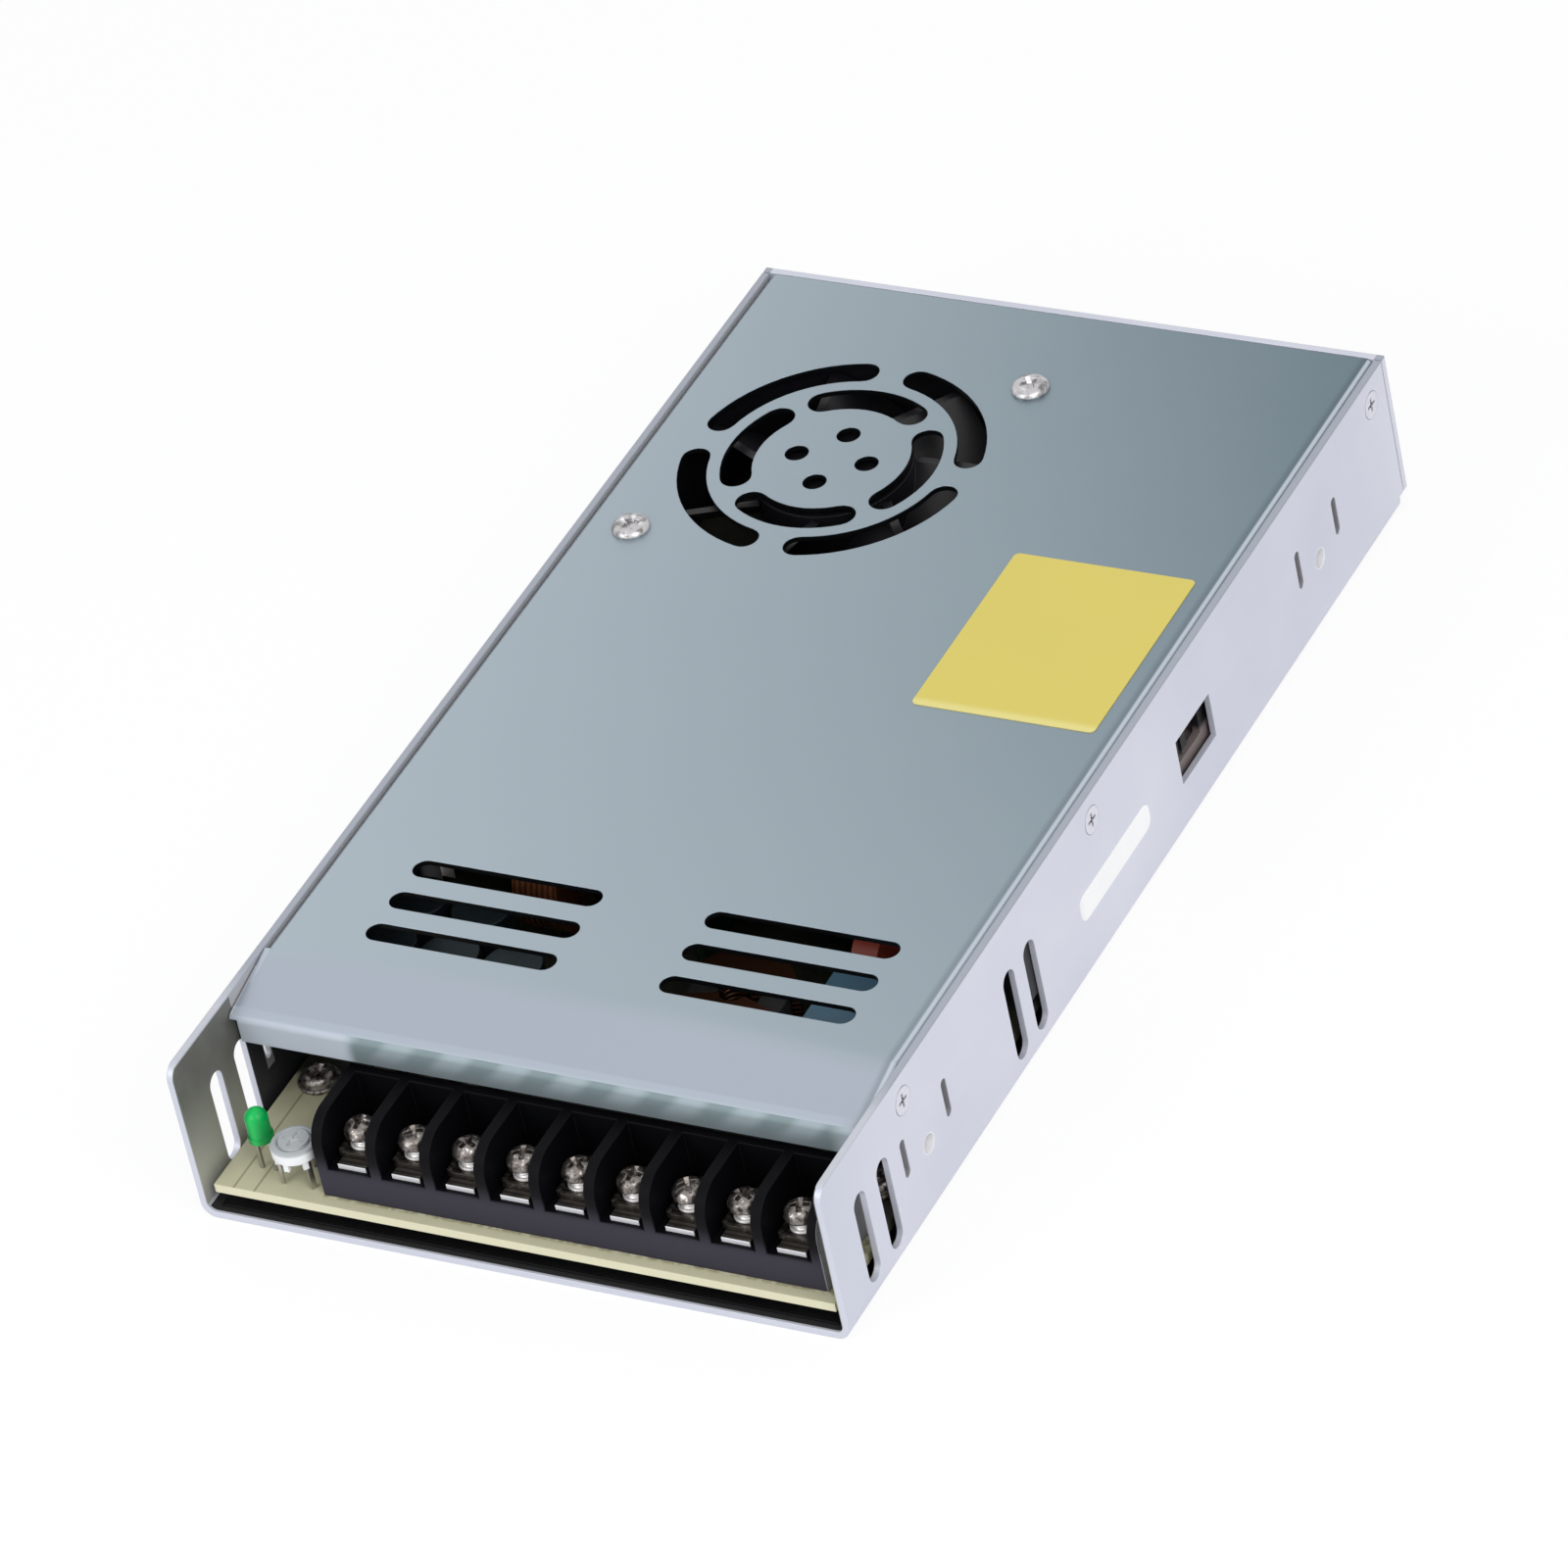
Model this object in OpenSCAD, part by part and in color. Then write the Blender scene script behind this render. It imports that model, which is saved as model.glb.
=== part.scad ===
// Enclosed switching power supply: folded tray, screwed lid with a blowing fan, nine-way barrier terminal.
// The origin is the middle of the underside. +Y runs from the terminals to the fan end and +Z is up.
// Places called _y are measured from the terminal end, and places called _x from the middle of the case.

/* [Case] */
// Length of the case, from the terminal end to the rear wall
case_l = 215; // [208:1:240]
// Width over the two side walls
case_w = 115; // [114:1:130]
// Height of the case
case_h = 30; // [29.5:0.5:36]
// Thickness of the chassis sheet
sheet_t = 1.2; // [1:0.1:1.5]
// Outer radius of the chassis bends
bend_r = 2.6; // [2:0.1:3.4]
// Radius of the upper front corners of the side walls
corner_r = 2.5; // [1:0.5:4]
// Gap between the rear wall and the ends of the side walls
seam_gap = 0.3; // [0.2:0.1:0.5]

/* [Side vents] */
// Width of the long vents
vent_w = 4; // [3:0.25:4.5]
// Height at which the long vents begin
vent_low_z = 3.7; // [3:0.1:5]
// Length of the long vents
vent_l = 17.3; // [12:0.1:18]
// Place of the first front vent
vent_front_y = 10.4; // [9:0.1:12]
// Spacing of the two front vents
vent_front_pitch = 7.9; // [6:0.1:9]
// Place of the first middle vent
vent_mid_y = 64.2; // [55:0.1:75]
// Spacing of the two middle vents
vent_mid_pitch = 7.4; // [6:0.1:9]
// Width of the slits beside each side mounting hole
slit_w = 1.7; // [1.2:0.1:2.5]
// Length of the slits
slit_l = 7.3; // [5:0.1:9]
// Height at which the slits begin
slit_low_z = 12; // [9:0.1:14]
// Distance from a side mounting hole to each of its slits
slit_offset = 7.4; // [6:0.1:9]

/* [Mounting holes] */
// Wall diameter of the tapped M4 mounting holes
mount_hole_d = 3.3; // [3.2:0.1:4.2]
// Place of the front mounting holes
mount_front_y = 32.5; // [31:0.5:36]
// Distance between front and rear mounting holes
mount_span_y = 150; // [140:0.5:160]
// Distance between the two rows of holes in the floor
mount_span_x = 50; // [40:0.5:60]
// Height of the holes in the side walls
mount_side_z = 12.5; // [11:0.5:14]
// Height of the drawn collar behind each mounting hole
collar_h = 1.5; // [1:0.1:1.8]
// Wall of that collar
collar_wall = 0.8; // [0.5:0.1:1.2]

/* [Cover] */
// Thickness of the cover sheet
cover_t = 1; // [0.7:0.1:1.2]
// Gap between the cover and the walls round it
cover_gap = 0.2; // [0.15:0.05:0.4]
// Outer radius of the cover's long bends
cover_bend_r = 1.6; // [1.4:0.1:2.5]
// Depth of the cover's side flanges
flange_h = 8.5; // [7:0.5:9]
// Place where the flat of the cover ends
crease_y = 31; // [27:0.5:33]
// Place of the face of the front lip
lip_y = 17.3; // [17.3:0.1:20]
// Drop of the sloped front of the cover
slope_drop = 3; // [1:0.25:3.5]
// Depth of the front lip
lip_h = 4.8; // [3:0.1:4.8]
// Outer radius between the slope and the lip
lip_r = 1.4; // [1.2:0.1:2]
// Width of the notch at each end of the lip
notch_w = 1.4; // [1:0.1:2]
// Distance of the flange ends behind the face of the lip
cheek_set = 0.8; // [0.2:0.1:2]

/* [Cover slots] */
// Number of slots in each of the two rows
slot_count = 3; // [1:1:3]
// Width of the slots
slot_w = 4.2; // [3:0.1:4.5]
// Length of the slots
slot_l = 34; // [25:0.1:36]
// Spacing of the slots along the case
slot_pitch = 8; // [6:0.1:8.5]
// Place of the slots nearest to the terminals
slot_first_y = 39; // [37:0.5:42]
// Place of the middle of the left slots
slot_left_x = -24.8; // [-28:0.1:-20]
// Place of the middle of the right slots
slot_right_x = 27.8; // [20:0.1:30]

/* [Fan grille] */
// Radius of the middle line of the outer slots
ring_out_r = 23.5; // [23.25:0.25:24.5]
// Width of the outer slots
ring_out_w = 5; // [4:0.25:5.25]
// Radius of the middle line of the inner slots
ring_in_r = 16.1; // [15.5:0.1:16.5]
// Width of the inner slots
ring_in_w = 5.4; // [4:0.1:5.6]
// Angle of each outer slot, its round ends apart
ring_out_angle = 66; // [50:1:67]
// Angle of each inner slot, its round ends apart
ring_in_angle = 62; // [48:1:63]
// Diameter of the four middle holes
middle_hole_d = 4.1; // [2:0.1:5]
// Radius of the circle of the middle holes
middle_hole_r = 6.5; // [5:0.1:9]

/* [Cover screws] */
// Thread diameter of the cover screws
cover_screw_d = 2.6; // [2:0.1:3]
// Head diameter of the cover screws
cover_screw_head_d = 4.8; // [4.2:0.1:5]
// Length of the cover screws
cover_screw_l = 4.5; // [3.5:0.5:6]
// Depth of the cover screws below the top of the case
cover_screw_drop = 5; // [4:0.25:5.5]
// Place of the front cover screws
cover_screw_front_y = 28; // [26:0.5:30]
// Place of the middle cover screws
cover_screw_mid_y = 97.5; // [90:0.5:105]
// Distance of the rear cover screws from the rear wall
cover_screw_rear_gap = 7; // [6:0.5:12]

/* [Labels] */
// Length of the label on the cover
label_l = 40; // [30:1:45]
// Width of the label on the cover
label_w = 32.5; // [25:0.5:35]
// Place of the middle of the label
label_y = 132; // [125:0.5:140]
// Gap between the label and the right edge of the cover
label_side_gap = 4.2; // [2:0.1:10]
// Thickness of the labels
label_t = 0.15; // [0.1:0.05:0.3]
// Length of the strip on the right wall
strip_l = 26; // [15:1:30]
// Width of the strip on the right wall
strip_w = 4.8; // [3:0.1:8]
// Place of the middle of the strip
strip_y = 101.6; // [95:0.1:105]

/* [Fan] */
// Side of the square fan frame
fan_s = 60; // [60:0.5:62]
// Depth of the fan frame
fan_t = 15; // [12:0.5:16]
// Spacing of the fan's screw holes
fan_hole_span = 50; // [48:0.5:52]
// Diameter of the fan's screw holes
fan_hole_d = 4.3; // [4:0.1:4.5]
// Distance of the fan ahead of the middle of the room between the transformer and the rear wall
fan_ahead = 1.4; // [0:0.1:4]
// Gap between the fan frame and the left wall
fan_side_gap = 3.9; // [2:0.1:4.5]
// Least wall of the frame round the fan's duct
duct_rim = 1.75; // [1.5:0.05:2.5]
// Gap between the blade tips and the duct
tip_gap = 0.9; // [0.5:0.1:2]
// Diameter of the impeller's hub
hub_d = 27; // [24:0.5:30]
// Number of blades
blade_count = 7; // [3:1:9]
// Thickness of the blades
blade_t = 1; // [0.8:0.1:1.6]
// Pitch angle of the blades
blade_pitch = 40; // [25:1:50]
// Diameter of the fan shaft
shaft_d = 2; // [1.5:0.1:3]
// Running clearance between shaft and bearing, on the radius
shaft_clear = 0.05; // [0.02:0.01:0.1]
// Outer diameter of the bearing sleeve
bearing_d = 5; // [4:0.1:6]
// Outer diameter of the stator
stator_d = 18; // [14:0.5:20]
// Thread diameter of the fan screws
fan_screw_d = 3.8; // [3:0.1:3.8]
// Head diameter of the fan screws
fan_screw_head_d = 6.6; // [6:0.1:8]
// Head height of the fan screws
fan_screw_head_h = 1.5; // [1:0.1:2.5]

/* [Circuit board] */
// Height of the standoffs under the board
standoff_h = 3.1; // [2.5:0.1:4]
// Diameter of the standoffs
standoff_d = 6; // [5:0.1:7]
// Thickness of the board
board_t = 1.6; // [1:0.1:2]
// Distance of the board's front edge from the terminal end
board_front_y = 1.3; // [0.8:0.1:1.8]
// Gap between the board and the side and rear walls
board_gap = 1.3; // [0.8:0.1:2]
// Thread diameter of the board screws
board_screw_d = 3; // [2.5:0.1:3.2]
// Head diameter of the board screws
board_screw_head_d = 5.8; // [5:0.1:6.5]
// Head height of the board screws
board_screw_head_h = 1.8; // [1.4:0.1:2.4]
// Distance of the board screws from the sides of the board
board_screw_side_gap = 5; // [4.5:0.5:7]
// Place of the front board screws
board_screw_front_y = 28; // [26:0.5:29]
// Distance of the rear board screws from the rear wall
board_screw_rear_gap = 9; // [7:0.5:10]
// Thickness of the insulating film
film_t = 0.4; // [0.2:0.1:0.6]

/* [Terminal block] */
// Number of poles
poles = 9; // [6:1:10]
// Room between the left wall and the block, for the trimmer and the light
block_room = 20.2; // [19:0.1:24]
// Thickness of the block's left end
block_end_t = 1.8; // [1.3:0.1:5]
// Thickness of the barriers
barrier_t = 1.8; // [1:0.1:2.2]
// Radius of the upper front corners of the barriers
barrier_r = 5; // [2:0.5:6]
// Gap between the block and the right wall
block_gap = 3.4; // [1:0.1:4]
// Place of the block's front face
block_y = 3.6; // [2:0.1:4]
// Depth of the block
block_l = 15; // [13:0.5:15]
// Height of the floor on which the tabs lie
block_floor_h = 5.4; // [5:0.1:7]
// Height of the barriers
block_h = 14.7; // [14:0.1:15.6]
// Thickness of the block's rear wall
block_rear_t = 1.6; // [1.2:0.1:2.5]
// Width of the contact tabs
tab_w = 5; // [4:0.1:6]
// Distance of the contact tabs behind the block's front face
tab_set = 1; // [0.1:0.1:2]
// Thickness of the contact tabs
tab_t = 0.9; // [0.6:0.1:1.2]
// Side of the square clamp plates
clamp_s = 6; // [5:0.1:6.4]
// Thickness of the clamp plates
clamp_t = 0.9; // [0.6:0.1:1.2]
// Thread diameter of the terminal screws
term_screw_d = 3.5; // [3:0.1:4]
// Head diameter of the terminal screws
term_head_d = 5.6; // [5:0.1:6.2]
// Head height of the terminal screws
term_head_h = 2.2; // [1.6:0.1:2.6]
// Place of the terminal screws behind the block's front face
term_screw_set = 5.9; // [5.4:0.1:7]
// Bare thread between the clamp plate and the head
term_neck = 2.2; // [0.5:0.1:2.6]

/* [Indicator light] */
// Diameter of the light
led_d = 3.8; // [3:0.1:5]
// Length of the light's body
led_h = 6; // [5:0.1:8.6]
// Height of the light above the board
led_rise = 6.4; // [3:0.1:8]
// Spacing of its leads
led_lead_pitch = 2.5; // [2:0.1:2.54]
// Thickness of its leads
led_lead_t = 0.6; // [0.4:0.05:0.7]
// Place of the light
led_y = 7; // [5:0.5:10]
// Distance from the trimmer to the light
led_offset = 6.6; // [6.4:0.1:8]

/* [Trimmer] */
// Diameter of the trimmer's body
trimmer_d = 7.8; // [6:0.1:8]
// Thickness of the trimmer's body
trimmer_t = 2.4; // [2:0.1:3]
// Height of the trimmer's body above the board
trimmer_rise = 5.7; // [3:0.1:7]
// Diameter of the rotor
rotor_d = 5; // [4:0.1:5.2]
// Distance from the block's left end to the trimmer
trimmer_offset = 5.2; // [4.5:0.1:7]
// Place of the trimmer
trimmer_y = 6.2; // [6:0.1:9]

/* [Voltage selector] */
// Length of the window in the right wall
window_l = 13; // [10:0.1:14]
// Height of the window
window_h = 8.6; // [7:0.1:9]
// Place of the middle of the window
window_y = 133.2; // [130:0.1:136]
// Depth of the middle of the window below the top of the case
window_drop = 16.7; // [16.5:0.1:17.5]
// Gap between the switch face and the wall
switch_gap = 0.6; // [0.3:0.1:1]
// Length of the switch body
switch_l = 19; // [17:0.5:20]
// Depth of the switch body into the case
switch_d = 9; // [8:0.5:10]
// Travel of the slider
slider_travel = 4; // [3:0.1:4.2]
// Side of the slider's knob
knob_s = 4.6; // [4:0.1:5]
// Clearance round the slider
slider_gap = 0.3; // [0.2:0.05:0.35]

/* [Input parts] */
// Diameter of the fuse
fuse_d = 5.2; // [5:0.1:6.35]
// Length of the fuse
fuse_l = 20; // [18:0.5:22]
// Diameter of the inrush thermistor
thermistor_d = 11; // [8:0.5:12]
// Thickness of the inrush thermistor
thermistor_t = 4; // [3:0.1:5]
// Spacing of the thermistor's leads
thermistor_pitch = 5; // [4:0.1:7.5]
// Diameter of the surge varistor
varistor_d = 14; // [10:0.5:15]
// Thickness of the surge varistor
varistor_t = 4.6; // [3.5:0.1:5]
// Spacing of the varistor's leads
varistor_pitch = 7.5; // [5:0.1:9]
// Length of the X capacitor along the case
x_cap_l = 16; // [13:0.5:17]
// Width of the X capacitor
x_cap_w = 11; // [9:0.5:12]
// Height of the X capacitor
x_cap_h = 14.5; // [10:0.5:18]
// Outer diameter of the line choke's core
line_core_d = 17; // [14:0.5:18]
// Hole of the line choke's core
line_core_hole = 8; // [6:0.5:9]
// Height of the line choke's core
line_core_h = 9; // [6:0.5:12]
// Diameter of the Y capacitors
y_cap_d = 8; // [6:0.5:9]
// Thickness of the Y capacitors
y_cap_t = 3.5; // [2.5:0.1:4]
// Spacing of the Y capacitors' leads
y_cap_pitch = 4; // [3:0.1:5]
// Angle of each of the line choke's two windings
line_winding_angle = 140; // [100:1:150]
// Length of the bridge rectifier
bridge_l = 21; // [18:0.5:22]
// Thickness of the bridge rectifier
bridge_t = 3.6; // [3:0.1:5]
// Diameter of the bulk capacitors
bulk_d = 22; // [18:0.5:22]
// Gap between the bulk capacitors and the cover
bulk_top_gap = 2.6; // [2:0.1:6]
// Gap between the two rear bulk capacitors
bulk_pair_gap = 2; // [1:0.1:2.5]
// Gap between the fan frame and the rear bulk capacitors
bulk_fan_gap = 4.9; // [2:0.1:10]
// Length of the inrush relay
relay_l = 19; // [15:0.5:20]
// Width of the inrush relay
relay_w = 15; // [12:0.5:16]
// Height of the inrush relay
relay_h = 15.5; // [12:0.5:18]

/* [Transformers] */
// Place of the main transformer and of the bulk capacitor beside it
transformer_y = 113; // [111:0.5:114]
// Width of the main transformer's core
core_w = 35; // [30:0.5:35]
// Length of the main transformer's core
core_l = 26; // [22:0.5:27]
// Gap between the main transformer and the cover
core_top_gap = 3.1; // [2:0.1:6]
// Thickness of the core's yokes and legs
core_leg = 5; // [4:0.5:6]
// Diameter of the core's middle leg
core_post_d = 10; // [8:0.5:11]
// Clearance between core, bobbin and winding
core_gap = 0.2; // [0.1:0.05:0.3]
// Thickness of the bobbin's walls
bobbin_t = 1; // [0.8:0.1:1.3]
// Side of the drive transformer
drive_s = 13; // [10:0.5:14]
// Height of the drive transformer
drive_h = 11; // [8:0.5:14]
// Gap between the fan frame and the drive transformer
drive_fan_gap = 8.9; // [3:0.1:12]

/* [Output parts] */
// Diameter of the output capacitors
out_cap_d = 10; // [8:0.5:10]
// Height of the output capacitors
out_cap_h = 15; // [12:0.5:20]
// Spacing of the output capacitors
out_cap_pitch = 11.5; // [11:0.1:12]
// Outer diameter of the output choke's core
choke_core_d = 17; // [14:0.5:18]
// Hole of the output choke's core
choke_core_hole = 9; // [8:0.5:10]
// Width of the output choke's core
choke_core_w = 5; // [4:0.5:6]
// Angle of the output choke's winding
winding_angle = 320; // [250:1:340]
// Thickness of the choke windings
winding_t = 1.4; // [1:0.1:1.6]
// Clearance between a core and its winding
winding_gap = 0.15; // [0.1:0.05:0.3]
// Width of the power transistors and rectifiers
device_w = 15.6; // [12:0.1:15.8]
// Gap between the power devices and the cover's flanges above them
device_top_gap = 1.6; // [1:0.1:4]
// Gap between neighbouring output rectifiers
device_gap = 1; // [0.3:0.1:2]
// Thickness of the power transistors and rectifiers
device_t = 4.6; // [4:0.1:5]
// Thickness of the clamp bars
bar_t = 2.5; // [2:0.1:4]
// Height of the clamp bars
bar_h = 6; // [5:0.5:8]

/* [Control parts] */
// Length of the control board
control_l = 30; // [24:0.5:31]
// Height of the control board
control_h = 18; // [14:0.5:20]
// Thickness of the control board
control_t = 1.2; // [0.8:0.1:1.6]
// Length of the control chip
chip_l = 10; // [8:0.5:12]
// Length of an optocoupler
opto_l = 6.5; // [5:0.1:7]
// Width of an optocoupler
opto_w = 4.6; // [4:0.1:5]
// Height of an optocoupler
opto_h = 3.6; // [3:0.1:5]
// Spacing of the optocouplers
opto_pitch = 6; // [5.5:0.1:6.2]
// Diameter of the load resistors
resistor_d = 4.4; // [3:0.1:5]
// Length of the load resistors
resistor_l = 12; // [9:0.5:13]
// Spacing of the load resistors
resistor_pitch = 8; // [6:0.1:9]

/* [Fan lead] */
// Diameter of each fan wire
wire_d = 1.3; // [1:0.1:1.4]
// Spacing of the two wires and of the header's pins
wire_pitch = 2; // [2:0.1:2.5]
// Height of the fan header
header_h = 3.5; // [2.5:0.1:4]
// Height of the plug on the header
plug_h = 6; // [5:0.1:7]

/* [Hidden] */
$fn = 48;
front_y = -case_l / 2;
rear_y = case_l / 2;
wall_in_x = case_w / 2 - sheet_t;
wall_end_y = rear_y - sheet_t - seam_gap;
relief_l = bend_r + 0.4;
cut = 1;
cover_half = wall_in_x - cover_gap;
cover_end_y = rear_y - sheet_t - cover_gap;
cover_under_z = case_h - cover_t;
cover_screw_z = case_h - cover_screw_drop;
cover_screw_ys = [
    front_y + cover_screw_front_y,
    front_y + cover_screw_mid_y,
    rear_y - cover_screw_rear_gap
];
slope_angle = atan(slope_drop / (crease_y - lip_y));
mount_ys = [front_y + mount_front_y, front_y + mount_front_y + mount_span_y];
collar_d = mount_hole_d + 2 * collar_wall;
board_z = sheet_t + standoff_h;
board_top = board_z + board_t;
board_half = wall_in_x - board_gap;
board_rear_y = rear_y - sheet_t - board_gap;
board_front = front_y + board_front_y;
board_screw_ys = [front_y + board_screw_front_y, rear_y - board_screw_rear_gap];
screw_clear = 0.1;
strip_z = mount_side_z + 0.5;
film_half = case_w / 2 - bend_r - 0.2;
washer_t = 0.8;
board_screw_x = board_half - board_screw_side_gap;
label_x = cover_half - label_side_gap - label_w / 2;
block_right_x = wall_in_x - block_gap;
block_left_x = block_room - wall_in_x;
pole_pitch = (block_right_x - block_left_x - block_end_t) / poles;
block_front = front_y + block_y;
pole_x0 = block_left_x + block_end_t + (pole_pitch - barrier_t) / 2;
tab_z = board_top + block_floor_h;
term_z = tab_z + tab_t + clamp_t + term_neck;
term_screw_y = block_front + term_screw_set;
clamp_rib = 0.7;
thread_hole_depth = 4;
trimmer_x = block_left_x - trimmer_offset;
led_x = trimmer_x - led_offset;
rotor_pin_d = 1.4;
rotor_sink = 0.8;
switch_face_x = wall_in_x - switch_gap;
window_z = case_h - window_drop;
switch_top_z = window_z + window_h / 2 + 2.5;
knob_x = switch_face_x - slider_gap;
carriage_x = knob_x - 1.4;
carriage_d = 2.6;
carriage_l = 8.4;
carriage_h = knob_s + 2;
slider_rest = -slider_travel / 2;
transformer_place = from_left(32.3, transformer_y);
core_rear_y = transformer_place[1] + core_l / 2;
core_h = cover_under_z - board_top - core_top_gap;
fan_x = fan_side_gap + fan_s / 2 - wall_in_x;
fan_y = (core_rear_y + case_l - sheet_t) / 2 - fan_ahead;
fan_z = cover_under_z - fan_t;
fan_cy = front_y + fan_y;
fan_right_x = fan_x + fan_s / 2;
duct_d = fan_s - 2 * duct_rim;
hub_base_t = 1.6;
hub_wall = 1.2;
hub_top_z = cover_under_z - 0.9;
hub_low_z = fan_z + hub_base_t + 0.8;
strut_t = 2;
blade_low_z = fan_z + strut_t + 1.2;
blade_high_z = hub_top_z - 0.6;
tip_r = duct_d / 2 - tip_gap;
bearing_top_z = hub_top_z - hub_wall - 1.6;
stator_h = 5.5;
magnet_t = 1.5;
magnet_h = 8;
part_gap = 0.3;
lead_height = 1;
fuse_place = from_right(18.3, 37);
fuse_rise = 4.2;
thermistor_place = from_right(18.3, 26);
varistor_place = from_right(24.8, 70.5);
x_cap_place = from_right(20.8, 51.5);
y_cap_places = [from_right(8.8, 46), from_right(8.8, 57)];
line_choke_place = from_right(41.8, 52.5);
line_choke_rise = winding_gap + winding_t;
relay_place = from_right(34.3, 89);
bridge_y = 81;
bulk_h = cover_under_z - board_top - bulk_top_gap;
bulk_pitch = bulk_d + bulk_pair_gap;
bulk_rear = [fan_right_x + bulk_fan_gap + bulk_d / 2, fan_y + 4.5];
bulk_places = [
    from_right(20.3, transformer_y),
    bulk_rear - [0, bulk_pitch / 2],
    bulk_rear + [0, bulk_pitch / 2]
];
drive_place = [fan_right_x + drive_fan_gap + drive_s / 2, (bulk_places[0][1] + bulk_places[1][1]) / 2];
device_h = case_h - flange_h - device_top_gap - board_top;
primary_first_y = window_y + (switch_l + device_w) / 2 + 0.9;
primary_ys = [primary_first_y, primary_first_y + device_w + part_gap];
output_device_ys = [for (i = [0:2]) 83 + i * (device_w + device_gap)];
output_choke_place = from_left(28.3, 75.5);
out_cap_first = from_left(11.8, 46.5);
out_cap_columns = [3, 2];
control_place = from_left(54.3, transformer_y - (core_l + control_l) / 2);
core_right_x = transformer_place[0] + core_w / 2;
opto_middle = [(core_right_x + bulk_places[0][0] - bulk_d / 2) / 2, transformer_y - 5];
opto_places = [for (i = [-1:1]) opto_middle + [i * opto_pitch, 0]];
resistor_first = from_left(18.3, 30);
resistor_places = [for (i = [0:2]) resistor_first + [i * resistor_pitch, 0]];
lead_x = fan_right_x - 8;
lead_z = fan_z + strut_t + 1.5;
plug_top = board_top + plug_h;
lead_bend_r = min(3, lead_z - plug_top - 0.5);
frame_face_y = fan_cy - fan_s / 2;
plug_y = frame_face_y - 8;

// Place on the board, by its distances from the right wall and from the terminal end
function from_right(side_gap, y) = [wall_in_x - side_gap, y];

// Place on the board, by its distances from the left wall and from the terminal end
function from_left(side_gap, y) = [side_gap - wall_in_x, y];

// ---- shapes that several parts share ----

// Extrudes an outline of X and Z from y0 to y1
module along_y(y0, y1) {
    translate([0, y1, 0]) rotate([90, 0, 0]) linear_extrude(y1 - y0) children();
}

// Extrudes an outline of Y and Z from x0 to x1
module along_x(x0, x1) {
    translate([x0, 0, 0]) rotate([90, 0, 90]) linear_extrude(x1 - x0) children();
}

// Box given by its lowest corner and its highest corner
module box(low, high) {
    translate(low) cube(high - low);
}

// Upright outline with two rounded lower corners, standing on the first axis
module tray_outline(w, h, r) {
    for (side = [-1, 1]) {
        translate([side * (w / 2 - r), r]) circle(r = r);
    }
    translate([-w / 2, r]) square([w, h - r]);
    translate([r - w / 2, 0]) square([w - 2 * r, r + 0.01]);
}

// U section of a folded sheet, open at the top
module u_section(w, h, r, t) {
    difference() {
        tray_outline(w, h, r);
        translate([0, t]) tray_outline(w - 2 * t, h, r - t);
    }
}

// Straight slot with round ends, along Z and cut through X
module wall_slot(w, l) {
    rotate([0, 90, 0]) cylinder(d = w, h = 4 * cut, center = true);
    translate([0, 0, l - w]) rotate([0, 90, 0]) cylinder(d = w, h = 4 * cut, center = true);
    translate([-2 * cut, -w / 2, 0]) cube([4 * cut, w, l - w]);
}

// Straight slot with round ends, along X and cut through Z
module lid_slot(w, l) {
    for (side = [-1, 1]) {
        translate([side * (l - w) / 2, 0, 0]) cylinder(d = w, h = 4 * cut, center = true);
    }
    cube([l - w, w, 4 * cut], center = true);
}

// Arc slot with round ends a hair narrower than its middle, centred on +X and cut through Z
module arc_slot(r, w, angle) {
    end_d = w - 0.1;
    rotate([0, 0, -angle / 2]) translate([0, 0, -2 * cut]) {
        rotate_extrude(angle = angle) translate([r - w / 2, 0]) square([w, 4 * cut]);
        translate([r, 0, 0]) cylinder(d = end_d, h = 4 * cut);
        rotate([0, 0, angle]) translate([r, 0, 0]) cylinder(d = end_d, h = 4 * cut);
    }
}

// Cross recess in a screw head, cut down from the origin
module cross_recess(size, depth) {
    for (turn = [0, 90]) {
        rotate([0, 0, turn]) translate([-size / 2, -size / 10, -depth]) cube([size, size / 5, depth + cut]);
    }
}

// Flat screw head with a sloping upper edge
module pan_head(d, h) {
    edge = 0.4 * h;
    cylinder(d = d, h = h - edge);
    translate([0, 0, h - edge]) cylinder(d1 = d, d2 = d - 1.6, h = edge);
}

// Puts children on the circuit board at a place [x, y]
module on_board(place) {
    translate([place[0], front_y + place[1], board_top]) children();
}

// Disc on two leads, standing on edge with its faces towards X
module leaded_disc(d, t, lead_pitch) {
    translate([0, 0, lead_height + d / 2]) rotate([0, 90, 0]) cylinder(d = d, h = t, center = true);
    for (side = [-1, 1]) {
        translate([0, side * lead_pitch / 2, 0]) cylinder(d = 0.8, h = lead_height + d / 3);
    }
}

// Upright can with a rolled groove near its base
module can(d, h) {
    groove_r = 0.5;
    difference() {
        cylinder(d = d, h = h);
        translate([0, 0, 4 * groove_r]) rotate_extrude() translate([d / 2, 0]) circle(r = groove_r);
    }
}

// Ring core lying flat
module ring_core(d, hole, h) {
    difference() {
        cylinder(d = d, h = h);
        translate([0, 0, -cut]) cylinder(d = hole, h = h + 2 * cut);
    }
}

// Part-turn winding round a ring core, its middle towards +Y
module ring_winding(d, hole, h, angle) {
    low = -winding_gap - winding_t;
    wide = (d - hole) / 2 + 2 * (winding_gap + winding_t);
    rotate([0, 0, 90 - angle / 2]) rotate_extrude(angle = angle) translate([hole / 2 + low, low]) {
        difference() {
            square([wide, h - 2 * low]);
            translate([winding_t, winding_t]) square([wide - 2 * winding_t, h - 2 * low - 2 * winding_t]);
        }
    }
}

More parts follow.
